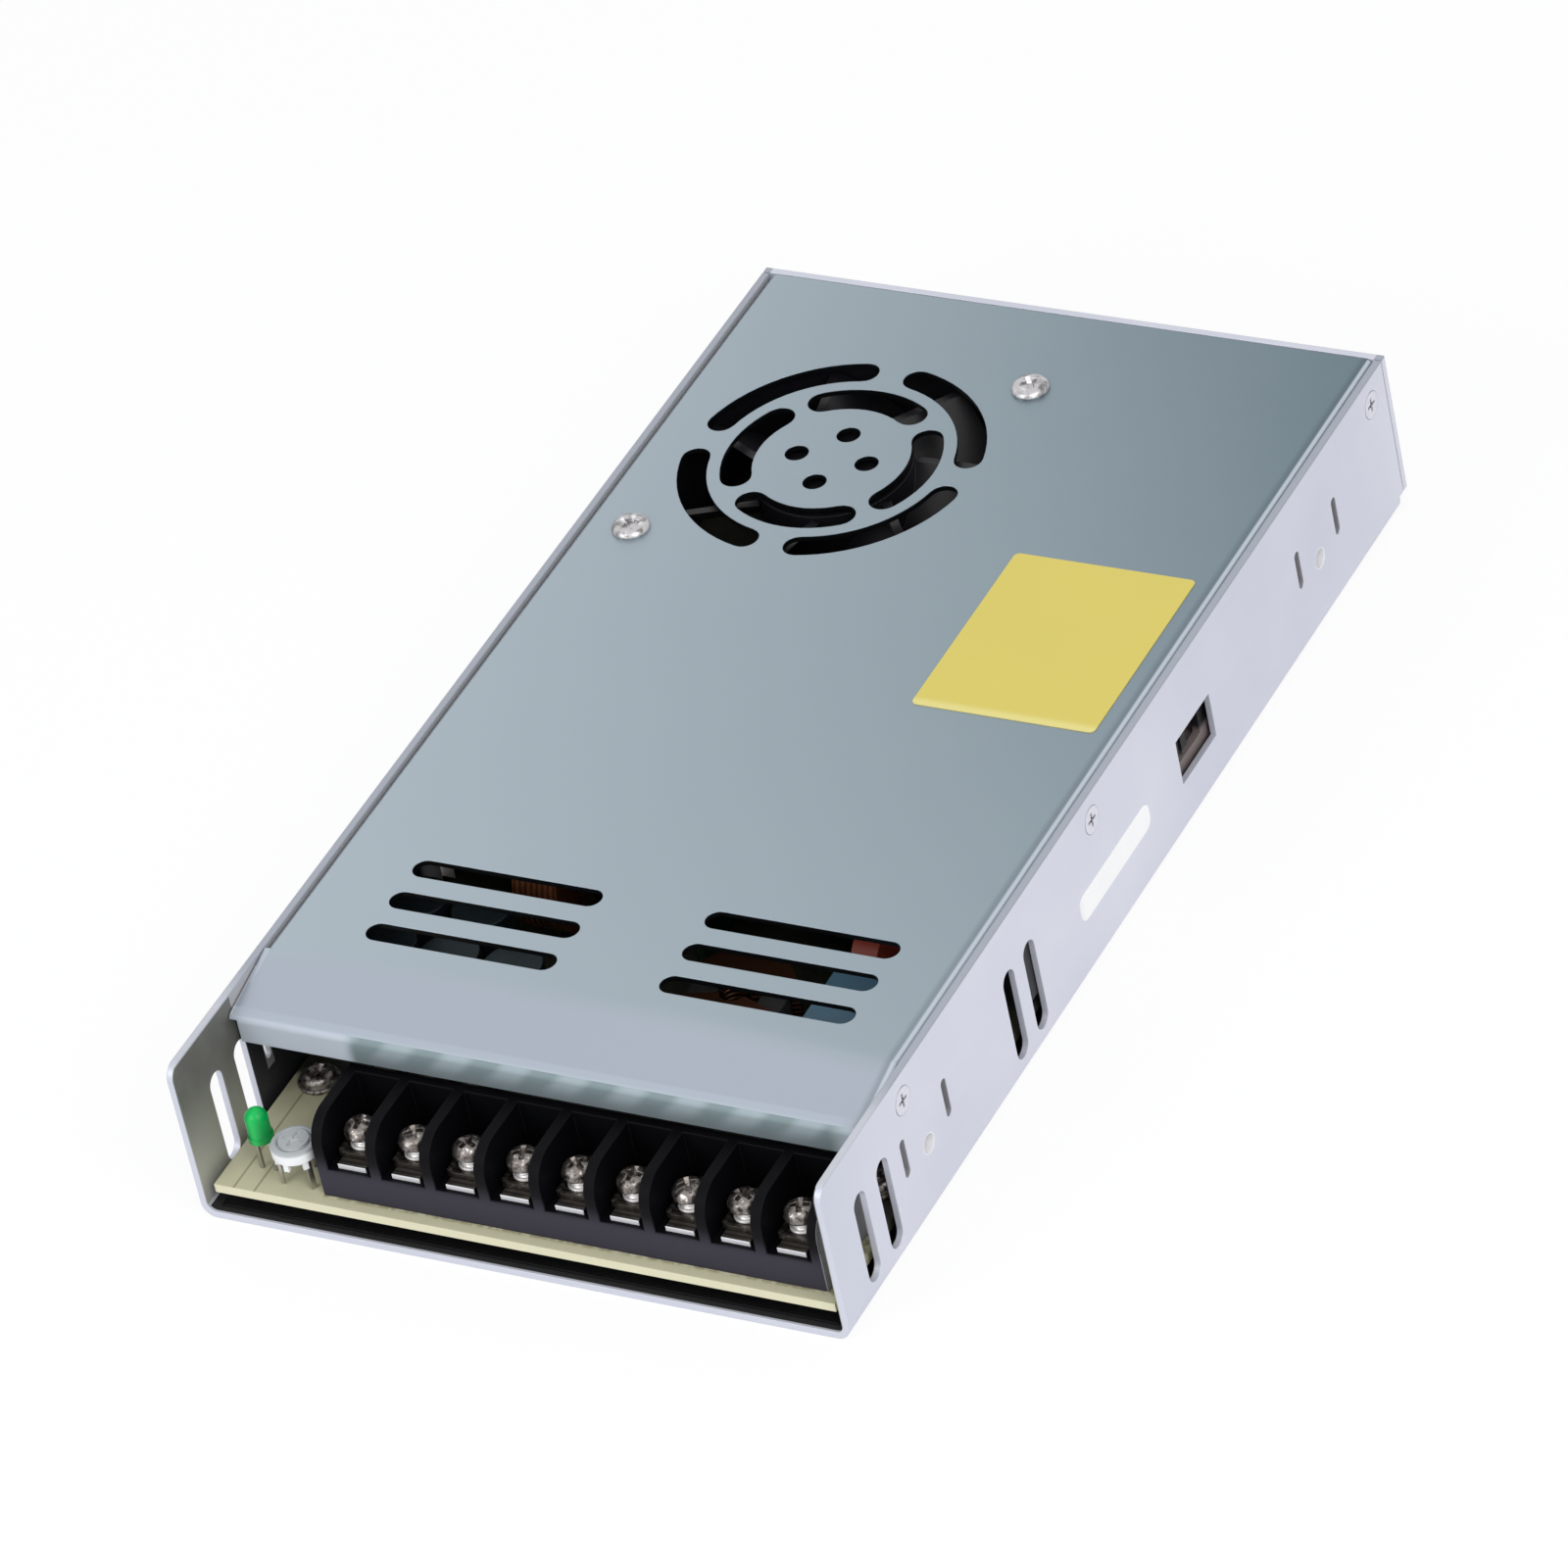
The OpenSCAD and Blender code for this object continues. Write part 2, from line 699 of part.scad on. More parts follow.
// Flat power device against a wall: its back is the plane X = 0 and it reaches towards +X
module power_device(w, h, t) {
    leg_w = 1.2;
    body_low = 3;
    box([0, -w / 2, body_low], [t, w / 2, h]);
    for (i = [-1:1]) {
        translate([t / 2 - 0.3, i * w / 3 - leg_w / 2, 0]) cube([0.6, leg_w, body_low + 1]);
    }
}

// ---- chassis ----

module chassis_sheet() {
    along_y(front_y, wall_end_y) u_section(case_w, case_h, bend_r, sheet_t);
    along_x(relief_l - case_w / 2, case_w / 2 - relief_l) rear_fold();
    box([-case_w / 2, rear_y - sheet_t, relief_l], [case_w / 2, rear_y, case_h]);
    for (y = mount_ys) {
        for (side = [-1, 1]) {
            translate([side * mount_span_x / 2, y, 0]) cylinder(d = collar_d, h = sheet_t + collar_h);
            translate([side * (case_w - sheet_t) / 2, y, mount_side_z]) rotate([0, -side * 90, 0]) {
                cylinder(d = collar_d, h = sheet_t / 2 + collar_h);
            }
        }
    }
}

// Floor turning up into the rear wall, as an outline of Y and Z
module rear_fold() {
    leg = 2 * relief_l;
    difference() {
        translate([rear_y - leg, 0]) union() {
            square([leg - bend_r, bend_r]);
            translate([leg - bend_r, bend_r]) circle(r = bend_r);
            translate([leg - bend_r, bend_r]) square([bend_r, case_h - bend_r]);
        }
        translate([rear_y - bend_r, bend_r]) circle(r = bend_r - sheet_t);
        translate([rear_y - leg - cut, sheet_t]) square([leg + cut - bend_r, bend_r]);
        translate([rear_y - leg, bend_r]) square([leg - sheet_t, case_h]);
    }
}

module chassis() {
    color("lavender") difference() {
        chassis_sheet();
        for (side = [-1, 1]) {
            side_openings(side * (case_w / 2 - sheet_t / 2));
            box([side * case_w / 2 - relief_l, rear_y - relief_l, -cut],
                [side * case_w / 2 + relief_l, rear_y + cut, relief_l]);
        }
        for (y = mount_ys) {
            for (side = [-1, 1]) {
                translate([side * mount_span_x / 2, y, -cut]) cylinder(d = mount_hole_d, h = case_h / 2);
            }
            translate([-case_w, y, mount_side_z]) rotate([0, 90, 0]) {
                cylinder(d = mount_hole_d, h = 2 * case_w);
            }
        }
        for (y = cover_screw_ys) {
            for (side = [-1, 1]) {
                translate([side * case_w / 2, y, cover_screw_z]) rotate([0, -side * 90, 0]) {
                    head_sink(screw_clear);
                }
            }
        }
        box([wall_in_x - cut, front_y + window_y - window_l / 2, window_z - window_h / 2],
            [case_w / 2 + cut, front_y + window_y + window_l / 2, window_z + window_h / 2]);
        along_x(-case_w, case_w) translate([front_y, case_h]) corner_waste();
    }
}

module corner_waste() {
    difference() {
        translate([-cut, -corner_r]) square(corner_r + cut);
        translate([corner_r, -corner_r]) circle(r = corner_r);
    }
}

module side_openings(x) {
    for (i = [0, 1]) {
        low = vent_low_z + vent_w / 2;
        translate([x, front_y + vent_front_y + i * vent_front_pitch, low]) wall_slot(vent_w, vent_l);
        translate([x, front_y + vent_mid_y + i * vent_mid_pitch, low]) wall_slot(vent_w, vent_l);
    }
    for (y = mount_ys) {
        for (side = [-1, 1]) {
            translate([x, y + side * slit_offset, slit_low_z + slit_w / 2]) wall_slot(slit_w, slit_l);
        }
    }
}

// ---- cover and its screws ----

// Side view of the slope and the lip, filled down to the lip's lower edge; inset moves it inwards
module nose_outline(inset) {
    r = lip_r - inset;
    centre = [lip_y + lip_r, case_h - slope_drop + lip_r * tan(slope_angle) - lip_r / cos(slope_angle)];
    low = case_h - slope_drop - lip_h - (inset > 0 ? cut : 0);
    translate([front_y, 0]) {
        translate(centre) circle(r = r);
        polygon([
            [crease_y, case_h - inset / cos(slope_angle)],
            centre + r * [-sin(slope_angle), cos(slope_angle)],
            centre,
            centre - [r, 0],
            [lip_y + inset, low],
            [crease_y, low]
        ]);
    }
}

module nose() {
    difference() {
        along_x(-cover_half, cover_half) difference() {
            nose_outline(0);
            nose_outline(cover_t);
        }
        for (side = [-1, 1]) {
            notch_x = side * (cover_half - notch_w / 2);
            translate([notch_x, front_y + lip_y, case_h - slope_drop - lip_h - cut]) {
                box([-notch_w / 2 - cut * (1 - side) / 2, -cut, 0],
                    [notch_w / 2 + cut * (1 + side) / 2, 2 * lip_r, lip_h + cut - 0.6]);
            }
        }
    }
}

// Side flange under the slope, as an outline of Y and Z
module cheek_outline() {
    intersection() {
        nose_outline(cover_t / 2);
        translate([front_y + lip_y + cheek_set + cover_t, case_h - flange_h]) {
            square([crease_y - lip_y, flange_h]);
        }
    }
}

module cover_sheet() {
    along_y(front_y + crease_y, cover_end_y) translate([0, case_h]) mirror([0, 1]) {
        u_section(2 * cover_half, flange_h, cover_bend_r, cover_t);
    }
    nose();
    for (side = [-1, 1]) {
        inner = side * (cover_half - cover_t);
        along_x(min(inner, side * cover_half), max(inner, side * cover_half)) cheek_outline();
    }
}

module fan_grille() {
    for (turn = [0:90:270]) {
        rotate([0, 0, turn + 45]) arc_slot(ring_out_r, ring_out_w, ring_out_angle);
        rotate([0, 0, turn]) arc_slot(ring_in_r, ring_in_w, ring_in_angle);
        rotate([0, 0, turn]) translate([middle_hole_r, 0, 0]) {
            cylinder(d = middle_hole_d, h = 4 * cut, center = true);
        }
    }
}

module cover() {
    lid_z = case_h - cover_t / 2;
    color("lightslategray") difference() {
        cover_sheet();
        translate([fan_x, fan_cy, lid_z]) fan_grille();
        for (side = [-1, 1]) {
            translate([fan_x + side * fan_hole_span / 2, fan_cy + side * fan_hole_span / 2, lid_z]) {
                cylinder(d = fan_screw_d + 2 * screw_clear, h = 4 * cut, center = true);
            }
        }
        for (i = [0:slot_count - 1]) {
            y = front_y + slot_first_y + i * slot_pitch;
            translate([slot_left_x, y, lid_z]) lid_slot(slot_w, slot_l);
            translate([slot_right_x, y, lid_z]) lid_slot(slot_w, slot_l);
        }
        for (y = cover_screw_ys) {
            translate([-case_w, y, cover_screw_z]) rotate([0, 90, 0]) {
                cylinder(d = cover_screw_d + 2 * screw_clear, h = 2 * case_w);
            }
        }
    }
}

// Countersink and hole for one cover screw, going in along +Z from the outer face at the origin
module head_sink(clear) {
    head_r = cover_screw_head_d / 2 + clear;
    thread_r = cover_screw_d / 2 + clear;
    cylinder(r1 = head_r, r2 = thread_r, h = head_r - thread_r);
    translate([0, 0, -cut]) cylinder(r = head_r, h = cut);
    cylinder(r = thread_r, h = sheet_t + cut);
}

module cover_screw() {
    head_r = cover_screw_head_d / 2;
    thread_r = cover_screw_d / 2;
    difference() {
        union() {
            cylinder(r1 = head_r, r2 = thread_r, h = head_r - thread_r);
            cylinder(r = thread_r, h = cover_screw_l);
        }
        rotate([180, 0, 0]) cross_recess(cover_screw_d, 0.7);
    }
}

module cover_screws() {
    color("silver") for (y = cover_screw_ys) {
        for (side = [-1, 1]) {
            translate([side * case_w / 2, y, cover_screw_z]) rotate([0, -side * 90, 0]) cover_screw();
        }
    }
}

// ---- labels ----

module cover_label() {
    r = 1;
    color("gold") translate([label_x, front_y + label_y, case_h]) linear_extrude(label_t) {
        square([label_w - 2 * r, label_l], center = true);
        square([label_w, label_l - 2 * r], center = true);
        for (i = [-1, 1]) {
            for (j = [-1, 1]) {
                translate([i * (label_w / 2 - r), j * (label_l / 2 - r)]) circle(r = r);
            }
        }
    }
}

module side_label() {
    r = strip_w / 2 - 0.6;
    color("white") along_x(case_w / 2, case_w / 2 + label_t) translate([front_y + strip_y, strip_z]) {
        square([strip_l - 2 * r, strip_w], center = true);
        square([strip_l, strip_w - 2 * r], center = true);
        for (i = [-1, 1]) {
            for (j = [-1, 1]) {
                translate([i * (strip_l / 2 - r), j * (strip_w / 2 - r)]) circle(r = r);
            }
        }
    }
}

// ---- board, film and their fasteners ----

module insulating_film() {
    color("black") difference() {
        box([-film_half, board_front + part_gap, sheet_t],
            [film_half, board_rear_y - 1, sheet_t + film_t]);
        for (y = mount_ys) {
            for (side = [-1, 1]) {
                translate([side * mount_span_x / 2, y, 0]) cylinder(d = collar_d + 2 * part_gap, h = board_z);
            }
        }
        at_board_screws() translate([0, 0, -board_z]) cylinder(d = standoff_d + 2 * part_gap, h = board_z);
    }
}

module at_board_screws() {
    for (y = board_screw_ys) {
        for (side = [-1, 1]) {
            translate([side * board_screw_x, y, board_z]) children();
        }
    }
}

module circuit_board() {
    color("khaki") difference() {
        box([-board_half, board_front, board_z], [board_half, board_rear_y, board_top]);
        at_board_screws() translate([0, 0, -cut]) {
            cylinder(d = board_screw_d + 2 * screw_clear, h = board_t + 2 * cut);
        }
    }
}

module board_standoffs() {
    color("silver") at_board_screws() translate([0, 0, -standoff_h]) difference() {
        cylinder(d = standoff_d, h = standoff_h);
        translate([0, 0, 0.4]) cylinder(d = board_screw_d + 2 * screw_clear, h = standoff_h);
    }
}

module board_screws() {
    color("silver") at_board_screws() translate([0, 0, board_t]) difference() {
        union() {
            cylinder(d = board_screw_head_d + 1.4, h = washer_t);
            translate([0, 0, washer_t]) pan_head(board_screw_head_d, board_screw_head_h);
            translate([0, 0, 0.8 - board_t - standoff_h]) {
                cylinder(d = board_screw_d, h = board_t + standoff_h);
            }
        }
        translate([0, 0, washer_t + board_screw_head_h]) cross_recess(board_screw_d, 1.2);
    }
}

// ---- terminal block ----

module at_poles() {
    for (i = [0:poles - 1]) {
        translate([pole_x0 + i * pole_pitch, term_screw_y, 0]) children();
    }
}

// Side view of a barrier, as an outline of Y and Z with a round upper front corner
module barrier_outline() {
    translate([block_front, board_top]) {
        square([block_l, block_h - barrier_r]);
        translate([barrier_r, 0]) square([block_l - barrier_r, block_h]);
        translate([barrier_r, block_h - barrier_r]) circle(r = barrier_r);
    }
}

module terminal_block() {
    color("#1c1c22") difference() {
        union() {
            box([block_left_x, block_front, board_top], [block_right_x, block_front + block_l, tab_z]);
            box([block_left_x, block_front + block_l - block_rear_t, board_top],
                [block_right_x, block_front + block_l, board_top + block_h]);
            along_x(block_left_x, block_left_x + block_end_t) barrier_outline();
            for (i = [1:poles]) {
                right = block_left_x + block_end_t + i * pole_pitch;
                along_x(right - barrier_t, right) barrier_outline();
            }
        }
        at_poles() translate([0, 0, tab_z - thread_hole_depth]) {
            cylinder(d = term_screw_d + 2 * screw_clear, h = case_h);
        }
    }
}

module terminal_tabs() {
    front = tab_set - term_screw_set;
    rear = block_l - block_rear_t - part_gap - term_screw_set;
    color("silver") at_poles() difference() {
        box([-tab_w / 2, front, tab_z], [tab_w / 2, rear, tab_z + tab_t]);
        translate([0, 0, tab_z - cut]) cylinder(d = term_screw_d + 2 * screw_clear, h = tab_t + 2 * cut);
    }
}

module terminal_clamps() {
    color("silver") at_poles() translate([0, 0, tab_z + tab_t]) difference() {
        union() {
            translate([-clamp_s / 2, -clamp_s / 2, 0]) cube([clamp_s, clamp_s, clamp_t]);
            for (x = [-clamp_s / 2, clamp_s / 2 - clamp_rib]) {
                translate([x, -clamp_s / 2, 0]) cube([clamp_rib, clamp_s, clamp_t + 0.5]);
            }
        }
        translate([0, 0, -cut]) cylinder(d = term_screw_d + 2 * screw_clear, h = clamp_t + 2 * cut);
    }
}

module terminal_screws() {
    collar_d = clamp_s - 2 * clamp_rib - part_gap;
    shank_low = tab_z - thread_hole_depth + 0.4;
    color("silver") at_poles() difference() {
        union() {
            translate([0, 0, shank_low]) cylinder(d = term_screw_d, h = term_z - shank_low + 1);
            translate([0, 0, tab_z + tab_t + clamp_t]) cylinder(d = collar_d, h = 0.5);
            translate([0, 0, term_z]) pan_head(term_head_d, term_head_h);
        }
        translate([0, 0, term_z + term_head_h]) cross_recess(term_screw_d, 1.3);
    }
}

// ---- indicator light and trimmer ----

module led_lens() {
    flange_t = 1;
    straight = led_h - led_d / 2;
    color("green") on_board([led_x, led_y]) translate([0, 0, led_rise]) {
        cylinder(d = led_d, h = straight);
        cylinder(d = led_d + 0.4, h = flange_t);
        translate([0, 0, straight]) intersection() {
            sphere(d = led_d);
            cylinder(d = led_d + 1, h = led_d);
        }
    }
}

module led_leads() {
    color("silver") on_board([led_x, led_y]) for (side = [-1, 1]) {
        translate([side * led_lead_pitch / 2 - led_lead_t / 2, -led_lead_t / 2, 0]) {
            cube([led_lead_t, led_lead_t, led_rise]);
        }
    }
}

module trimmer_body() {
    color("gainsboro") on_board([trimmer_x, trimmer_y]) translate([0, 0, trimmer_rise]) difference() {
        cylinder(d = trimmer_d, h = trimmer_t);
        translate([0, 0, trimmer_t - rotor_sink]) cylinder(d = rotor_d + 2 * part_gap, h = rotor_sink + cut);
        translate([0, 0, -cut]) cylinder(d = rotor_pin_d + 2 * shaft_clear, h = trimmer_t + cut);
    }
}

module trimmer_legs() {
    leg_w = 1;
    color("silver") on_board([trimmer_x, trimmer_y]) for (turn = [-150, -30, 90]) {
        rotate([0, 0, turn]) translate([trimmer_d / 2 - 1, -leg_w / 2, 0]) cube([0.5, leg_w, trimmer_rise]);
    }
}

module trimmer_rotor() {
    color("lightgray") on_board([trimmer_x, trimmer_y]) {
        translate([0, 0, trimmer_rise + trimmer_t - rotor_sink]) difference() {
            cylinder(d = rotor_d, h = rotor_sink + 0.2);
            translate([0, 0, rotor_sink + 0.2]) cross_recess(rotor_d - 1.4, 0.6);
        }
        translate([0, 0, trimmer_rise + 0.3]) cylinder(d = rotor_pin_d, h = trimmer_t - rotor_sink);
    }
}

// ---- voltage selector ----

module selector_body() {
    chamber_x = carriage_x - carriage_d - slider_gap;
    mouth_half = slider_travel / 2 + knob_s / 2 + slider_gap;
    chamber_half = slider_travel / 2 + carriage_l / 2 + slider_gap;
    color("#3a3634") translate([0, front_y + window_y, 0]) difference() {
        box([switch_face_x - switch_d, -switch_l / 2, board_top],
            [switch_face_x, switch_l / 2, switch_top_z]);
        box([carriage_x, -mouth_half, window_z - knob_s / 2 - slider_gap],
            [switch_face_x + cut, mouth_half, window_z + knob_s / 2 + slider_gap]);
        box([chamber_x, -chamber_half, window_z - carriage_h / 2 - slider_gap],
            [carriage_x + slider_gap, chamber_half, window_z + carriage_h / 2 + slider_gap]);
    }
}

module selector_slider() {
    color("#6e6660") translate([0, front_y + window_y + slider_rest, window_z]) difference() {
        union() {
            box([carriage_x - carriage_d, -carriage_l / 2, -carriage_h / 2],
                [carriage_x, carriage_l / 2, carriage_h / 2]);
            box([carriage_x - 1, -knob_s / 2, -knob_s / 2], [knob_x, knob_s / 2, knob_s / 2]);
        }
        box([knob_x - 0.8, -0.5, -knob_s / 2 - cut], [knob_x + cut, 0.5, knob_s / 2 + cut]);
    }
}

// ---- fan ----

module at_fan(z) {
    translate([fan_x, fan_cy, z]) children();
}

module fan_frame() {
    strut_w = 3;
    base_d = hub_d - 1;
    color("#202024") at_fan(fan_z) difference() {
        union() {
            difference() {
                translate([-fan_s / 2, -fan_s / 2, 0]) cube([fan_s, fan_s, fan_t]);
                translate([0, 0, -cut]) cylinder(d = duct_d, h = fan_t + 2 * cut);
            }
            cylinder(d = base_d, h = hub_base_t);
            cylinder(d = bearing_d + 2.4, h = bearing_top_z - fan_z);
            for (turn = [45:90:315]) {
                rotate([0, 0, turn]) translate([base_d / 2 - 1, -strut_w / 2, 0]) {
                    cube([(duct_d - base_d) / 2 + 1.6, strut_w, strut_t]);
                }
            }
        }
        for (i = [-1, 1]) {
            for (j = [-1, 1]) {
                translate([i * fan_hole_span / 2, j * fan_hole_span / 2, -cut]) {
                    cylinder(d = fan_hole_d, h = fan_t + 2 * cut);
                }
            }
        }
        translate([0, 0, hub_base_t / 2]) cylinder(d = bearing_d + 2 * shaft_clear, h = fan_t);
    }
}

module fan_bearing() {
    low = fan_z + hub_base_t / 2;
    color("darkgoldenrod") at_fan(low) difference() {
        cylinder(d = bearing_d, h = bearing_top_z - low);
        translate([0, 0, 1]) cylinder(d = shaft_d + 2 * shaft_clear, h = fan_t);
    }
}

module fan_stator() {
    pole_w = 4;
    color("peru") at_fan(fan_z + hub_base_t) difference() {
        union() {
            cylinder(d = stator_d * 0.62, h = stator_h);
            for (turn = [0:90:270]) {
                rotate([0, 0, turn]) {
                    translate([0, -pole_w / 2, 0.6]) cube([stator_d / 2 - 0.6, pole_w, stator_h - 1.2]);
                    stator_shoe();
                }
            }
        }
        translate([0, 0, -cut]) cylinder(d = bearing_d + 2.4 + 2 * shaft_clear, h = stator_h + 2 * cut);
    }
}

module stator_shoe() {
    shoe_angle = 66;
    rotate([0, 0, -shoe_angle / 2]) rotate_extrude(angle = shoe_angle) translate([stator_d / 2 - 1.2, 0]) {
        square([1.2, stator_h]);
    }
}

module blade() {
    chord = 40;
    rotate([blade_pitch, 0, 0]) translate([hub_d / 2 - 1, -chord / 2, -blade_t / 2]) {
        cube([duct_d, chord, blade_t]);
    }
}

module fan_impeller() {
    middle = (blade_low_z + blade_high_z) / 2;
    color("#18181c") at_fan(0) {
        difference() {
            translate([0, 0, hub_low_z]) cylinder(d = hub_d, h = hub_top_z - hub_low_z);
            translate([0, 0, hub_low_z - cut]) {
                cylinder(d = hub_d - 2 * hub_wall, h = hub_top_z - hub_low_z - hub_wall + cut);
            }
        }
        intersection() {
            translate([0, 0, blade_low_z]) ring_core(2 * tip_r, hub_d - hub_wall, blade_high_z - blade_low_z);
            for (i = [0:blade_count - 1]) {
                rotate([0, 0, i * 360 / blade_count]) translate([0, 0, middle]) blade();
            }
        }
    }
}

module fan_magnet() {
    d = hub_d - 2 * hub_wall - 2 * shaft_clear;
    color("#30302c") at_fan(hub_low_z) ring_core(d, d - 2 * magnet_t, magnet_h);
}

module fan_shaft() {
    low = fan_z + hub_base_t / 2 + 1.3;
    color("silver") at_fan(low) cylinder(d = shaft_d, h = hub_top_z - hub_wall - low);
}

module fan_screws() {
    screw_l = 9;
    color("silver") for (side = [-1, 1]) {
        at_fan(case_h) translate([side * fan_hole_span / 2, side * fan_hole_span / 2, 0]) difference() {
            union() {
                pan_head(fan_screw_head_d, fan_screw_head_h);
                translate([0, 0, -screw_l]) cylinder(d = fan_screw_d, h = screw_l);
            }
            translate([0, 0, fan_screw_head_h]) cross_recess(fan_screw_d, 1);
        }
    }
}

// ---- fan lead ----

module at_wires() {
    for (side = [-1, 1]) {
        translate([lead_x + side * wire_pitch / 2, 0, 0]) children();
    }
}

// Each wire leaves the side of the frame, runs forwards and bends down into the plug
module fan_lead() {
    run = frame_face_y - plug_y - lead_bend_r;
    color("firebrick") at_wires() {
        translate([0, frame_face_y, lead_z]) rotate([90, 0, 0]) cylinder(d = wire_d, h = run);
        translate([0, plug_y + lead_bend_r, lead_z - lead_bend_r]) rotate([90, 0, -90]) {
            rotate_extrude(angle = 90) translate([lead_bend_r, 0]) circle(d = wire_d);
        }
        translate([0, plug_y, plug_top]) cylinder(d = wire_d, h = lead_z - lead_bend_r - plug_top);
    }
}

module fan_plug() {
    wide = wire_pitch + 3;
    color("ivory") translate([lead_x - wide / 2, plug_y - 2, board_top + header_h]) {
        cube([wide, 4, plug_h - header_h]);
    }
}

module fan_header() {
    wide = wire_pitch + 3.4;
    color("white") translate([lead_x - wide / 2, plug_y - 2.5, board_top]) cube([wide, 5, header_h]);
}

// ---- input parts ----

module fuse() {
    cap_l = 5;
    color("whitesmoke") on_board(fuse_place) translate([0, 0, fuse_rise]) rotate([0, 90, 0]) {
        cylinder(d = fuse_d - 0.4, h = fuse_l, center = true);
        for (side = [-1, 1]) {
            translate([0, 0, side * (fuse_l - cap_l) / 2]) cylinder(d = fuse_d, h = cap_l, center = true);
        }
    }
}

module fuse_clips() {
    clip_w = 3.6;
    clip_t = 0.5;
    outer = fuse_d / 2 + clip_t + screw_clear / 2;
    color("silver") on_board(fuse_place) for (side = [-1, 1]) {
        translate([side * (fuse_l / 2 - clip_w + 1), 0, 0]) difference() {
            union() {
                translate([-clip_w / 2, -outer, 0]) cube([clip_w, 2 * outer, fuse_rise]);
                translate([0, 0, fuse_rise]) rotate([0, 90, 0]) {
                    cylinder(r = outer, h = clip_w, center = true);
                }
            }
            translate([0, 0, fuse_rise]) rotate([0, 90, 0]) {
                cylinder(r = outer - clip_t, h = clip_w + cut, center = true);
            }
            translate([-clip_w, -outer + clip_t, fuse_rise]) cube([2 * clip_w, 2 * (outer - clip_t), fuse_d]);
            translate([-clip_w, -outer + clip_t, clip_t]) cube([2 * clip_w, 2 * (outer - clip_t), fuse_rise]);
        }
    }
}

module inrush_thermistor() {
    color("darkolivegreen") on_board(thermistor_place) rotate([0, 0, 90]) {
        leaded_disc(thermistor_d, thermistor_t, thermistor_pitch);
    }
}

module surge_varistor() {
    color("orangered") on_board(varistor_place) leaded_disc(varistor_d, varistor_t, varistor_pitch);
}

module x_capacitor() {
    color("steelblue") on_board(x_cap_place) translate([-x_cap_w / 2, -x_cap_l / 2, 0]) {
        cube([x_cap_w, x_cap_l, x_cap_h]);
    }
}

module line_choke_core() {
    color("darkslategray") on_board(line_choke_place) translate([0, 0, line_choke_rise]) {
        ring_core(line_core_d, line_core_hole, line_core_h);
    }
}

module line_choke_windings() {
    color("sienna") on_board(line_choke_place) translate([0, 0, line_choke_rise]) {
        for (turn = [0, 180]) {
            rotate([0, 0, turn]) ring_winding(line_core_d, line_core_hole, line_core_h, line_winding_angle);
        }
    }
}

module y_capacitors() {
    color("royalblue") for (p = y_cap_places) {
        on_board(p) leaded_disc(y_cap_d, y_cap_t, y_cap_pitch);
    }
}

module bridge_rectifier() {
    color("#26262a") translate([wall_in_x, front_y + bridge_y, board_top]) rotate([0, 0, 180]) {
        power_device(bridge_l, device_h, bridge_t);
    }
}

module bulk_capacitors() {
    color("#1e2430") for (p = bulk_places) {
        on_board(p) can(bulk_d, bulk_h);
    }
}

module inrush_relay() {
    color("#2f4a7a") on_board(relay_place) translate([-relay_w / 2, -relay_l / 2, 0]) {
        cube([relay_w, relay_l, relay_h]);
    }
}

module primary_transistors() {
    color("#26262a") for (y = primary_ys) {
        translate([wall_in_x, front_y + y, board_top]) rotate([0, 0, 180]) {
            power_device(device_w, device_h, device_t);
        }
    }
}

module primary_clamp_bar() {
    x = wall_in_x - device_t;
    z = board_top + device_h / 2;
    color("silver") box([x - bar_t, front_y + primary_ys[0] - device_w / 2, z - bar_h / 2],
        [x, front_y + primary_ys[1] + device_w / 2, z + bar_h / 2]);
}

module drive_transformer() {
    yoke = 2.5;
    color("#34302c") on_board(drive_place) {
        translate([-drive_s / 2, -drive_s / 2, yoke]) cube([drive_s, drive_s, drive_h - 2 * yoke]);
        translate([-drive_s / 2 + 1, -drive_s / 2 + 1, 0]) cube([drive_s - 2, drive_s - 2, drive_h]);
    }
}

// ---- main transformer ----

module transformer_core() {
    window = core_h - 2 * core_leg;
    color("#3c3c40") on_board(transformer_place) difference() {
        translate([-core_w / 2, -core_l / 2, 0]) cube([core_w, core_l, core_h]);
        difference() {
            translate([-core_w / 2 + core_leg, -core_l / 2 - cut, core_leg]) {
                cube([core_w - 2 * core_leg, core_l + 2 * cut, window]);
            }
            cylinder(d = core_post_d, h = core_h);
        }
    }
}

module transformer_bobbin() {
    tube_d = core_post_d + 2 * core_gap;
    low = core_leg + core_gap;
    high = core_h - core_leg - core_gap;
    flange_d = core_w - 2 * core_leg - 2 * core_gap;
    color("#2a2a2e") on_board(transformer_place) {
        translate([0, 0, low]) ring_core(tube_d + 2 * bobbin_t, tube_d, high - low);
        translate([0, 0, low]) ring_core(flange_d, tube_d, bobbin_t);
        translate([0, 0, high - bobbin_t]) ring_core(flange_d, tube_d, bobbin_t);
    }
}

module transformer_winding() {
    hole = core_post_d + 4 * core_gap + 2 * bobbin_t;
    low = core_leg + 2 * core_gap + bobbin_t;
    high = core_h - core_leg - 2 * core_gap - bobbin_t;
    wide = core_w - 2 * core_leg - 2 * core_gap - 0.6;
    color("#c8a23a") on_board(transformer_place) translate([0, 0, low]) ring_core(wide, hole, high - low);
}

// ---- output parts ----

module output_rectifiers() {
    color("#26262a") for (y = output_device_ys) {
        translate([-wall_in_x, front_y + y, board_top]) power_device(device_w, device_h, device_t);
    }
}

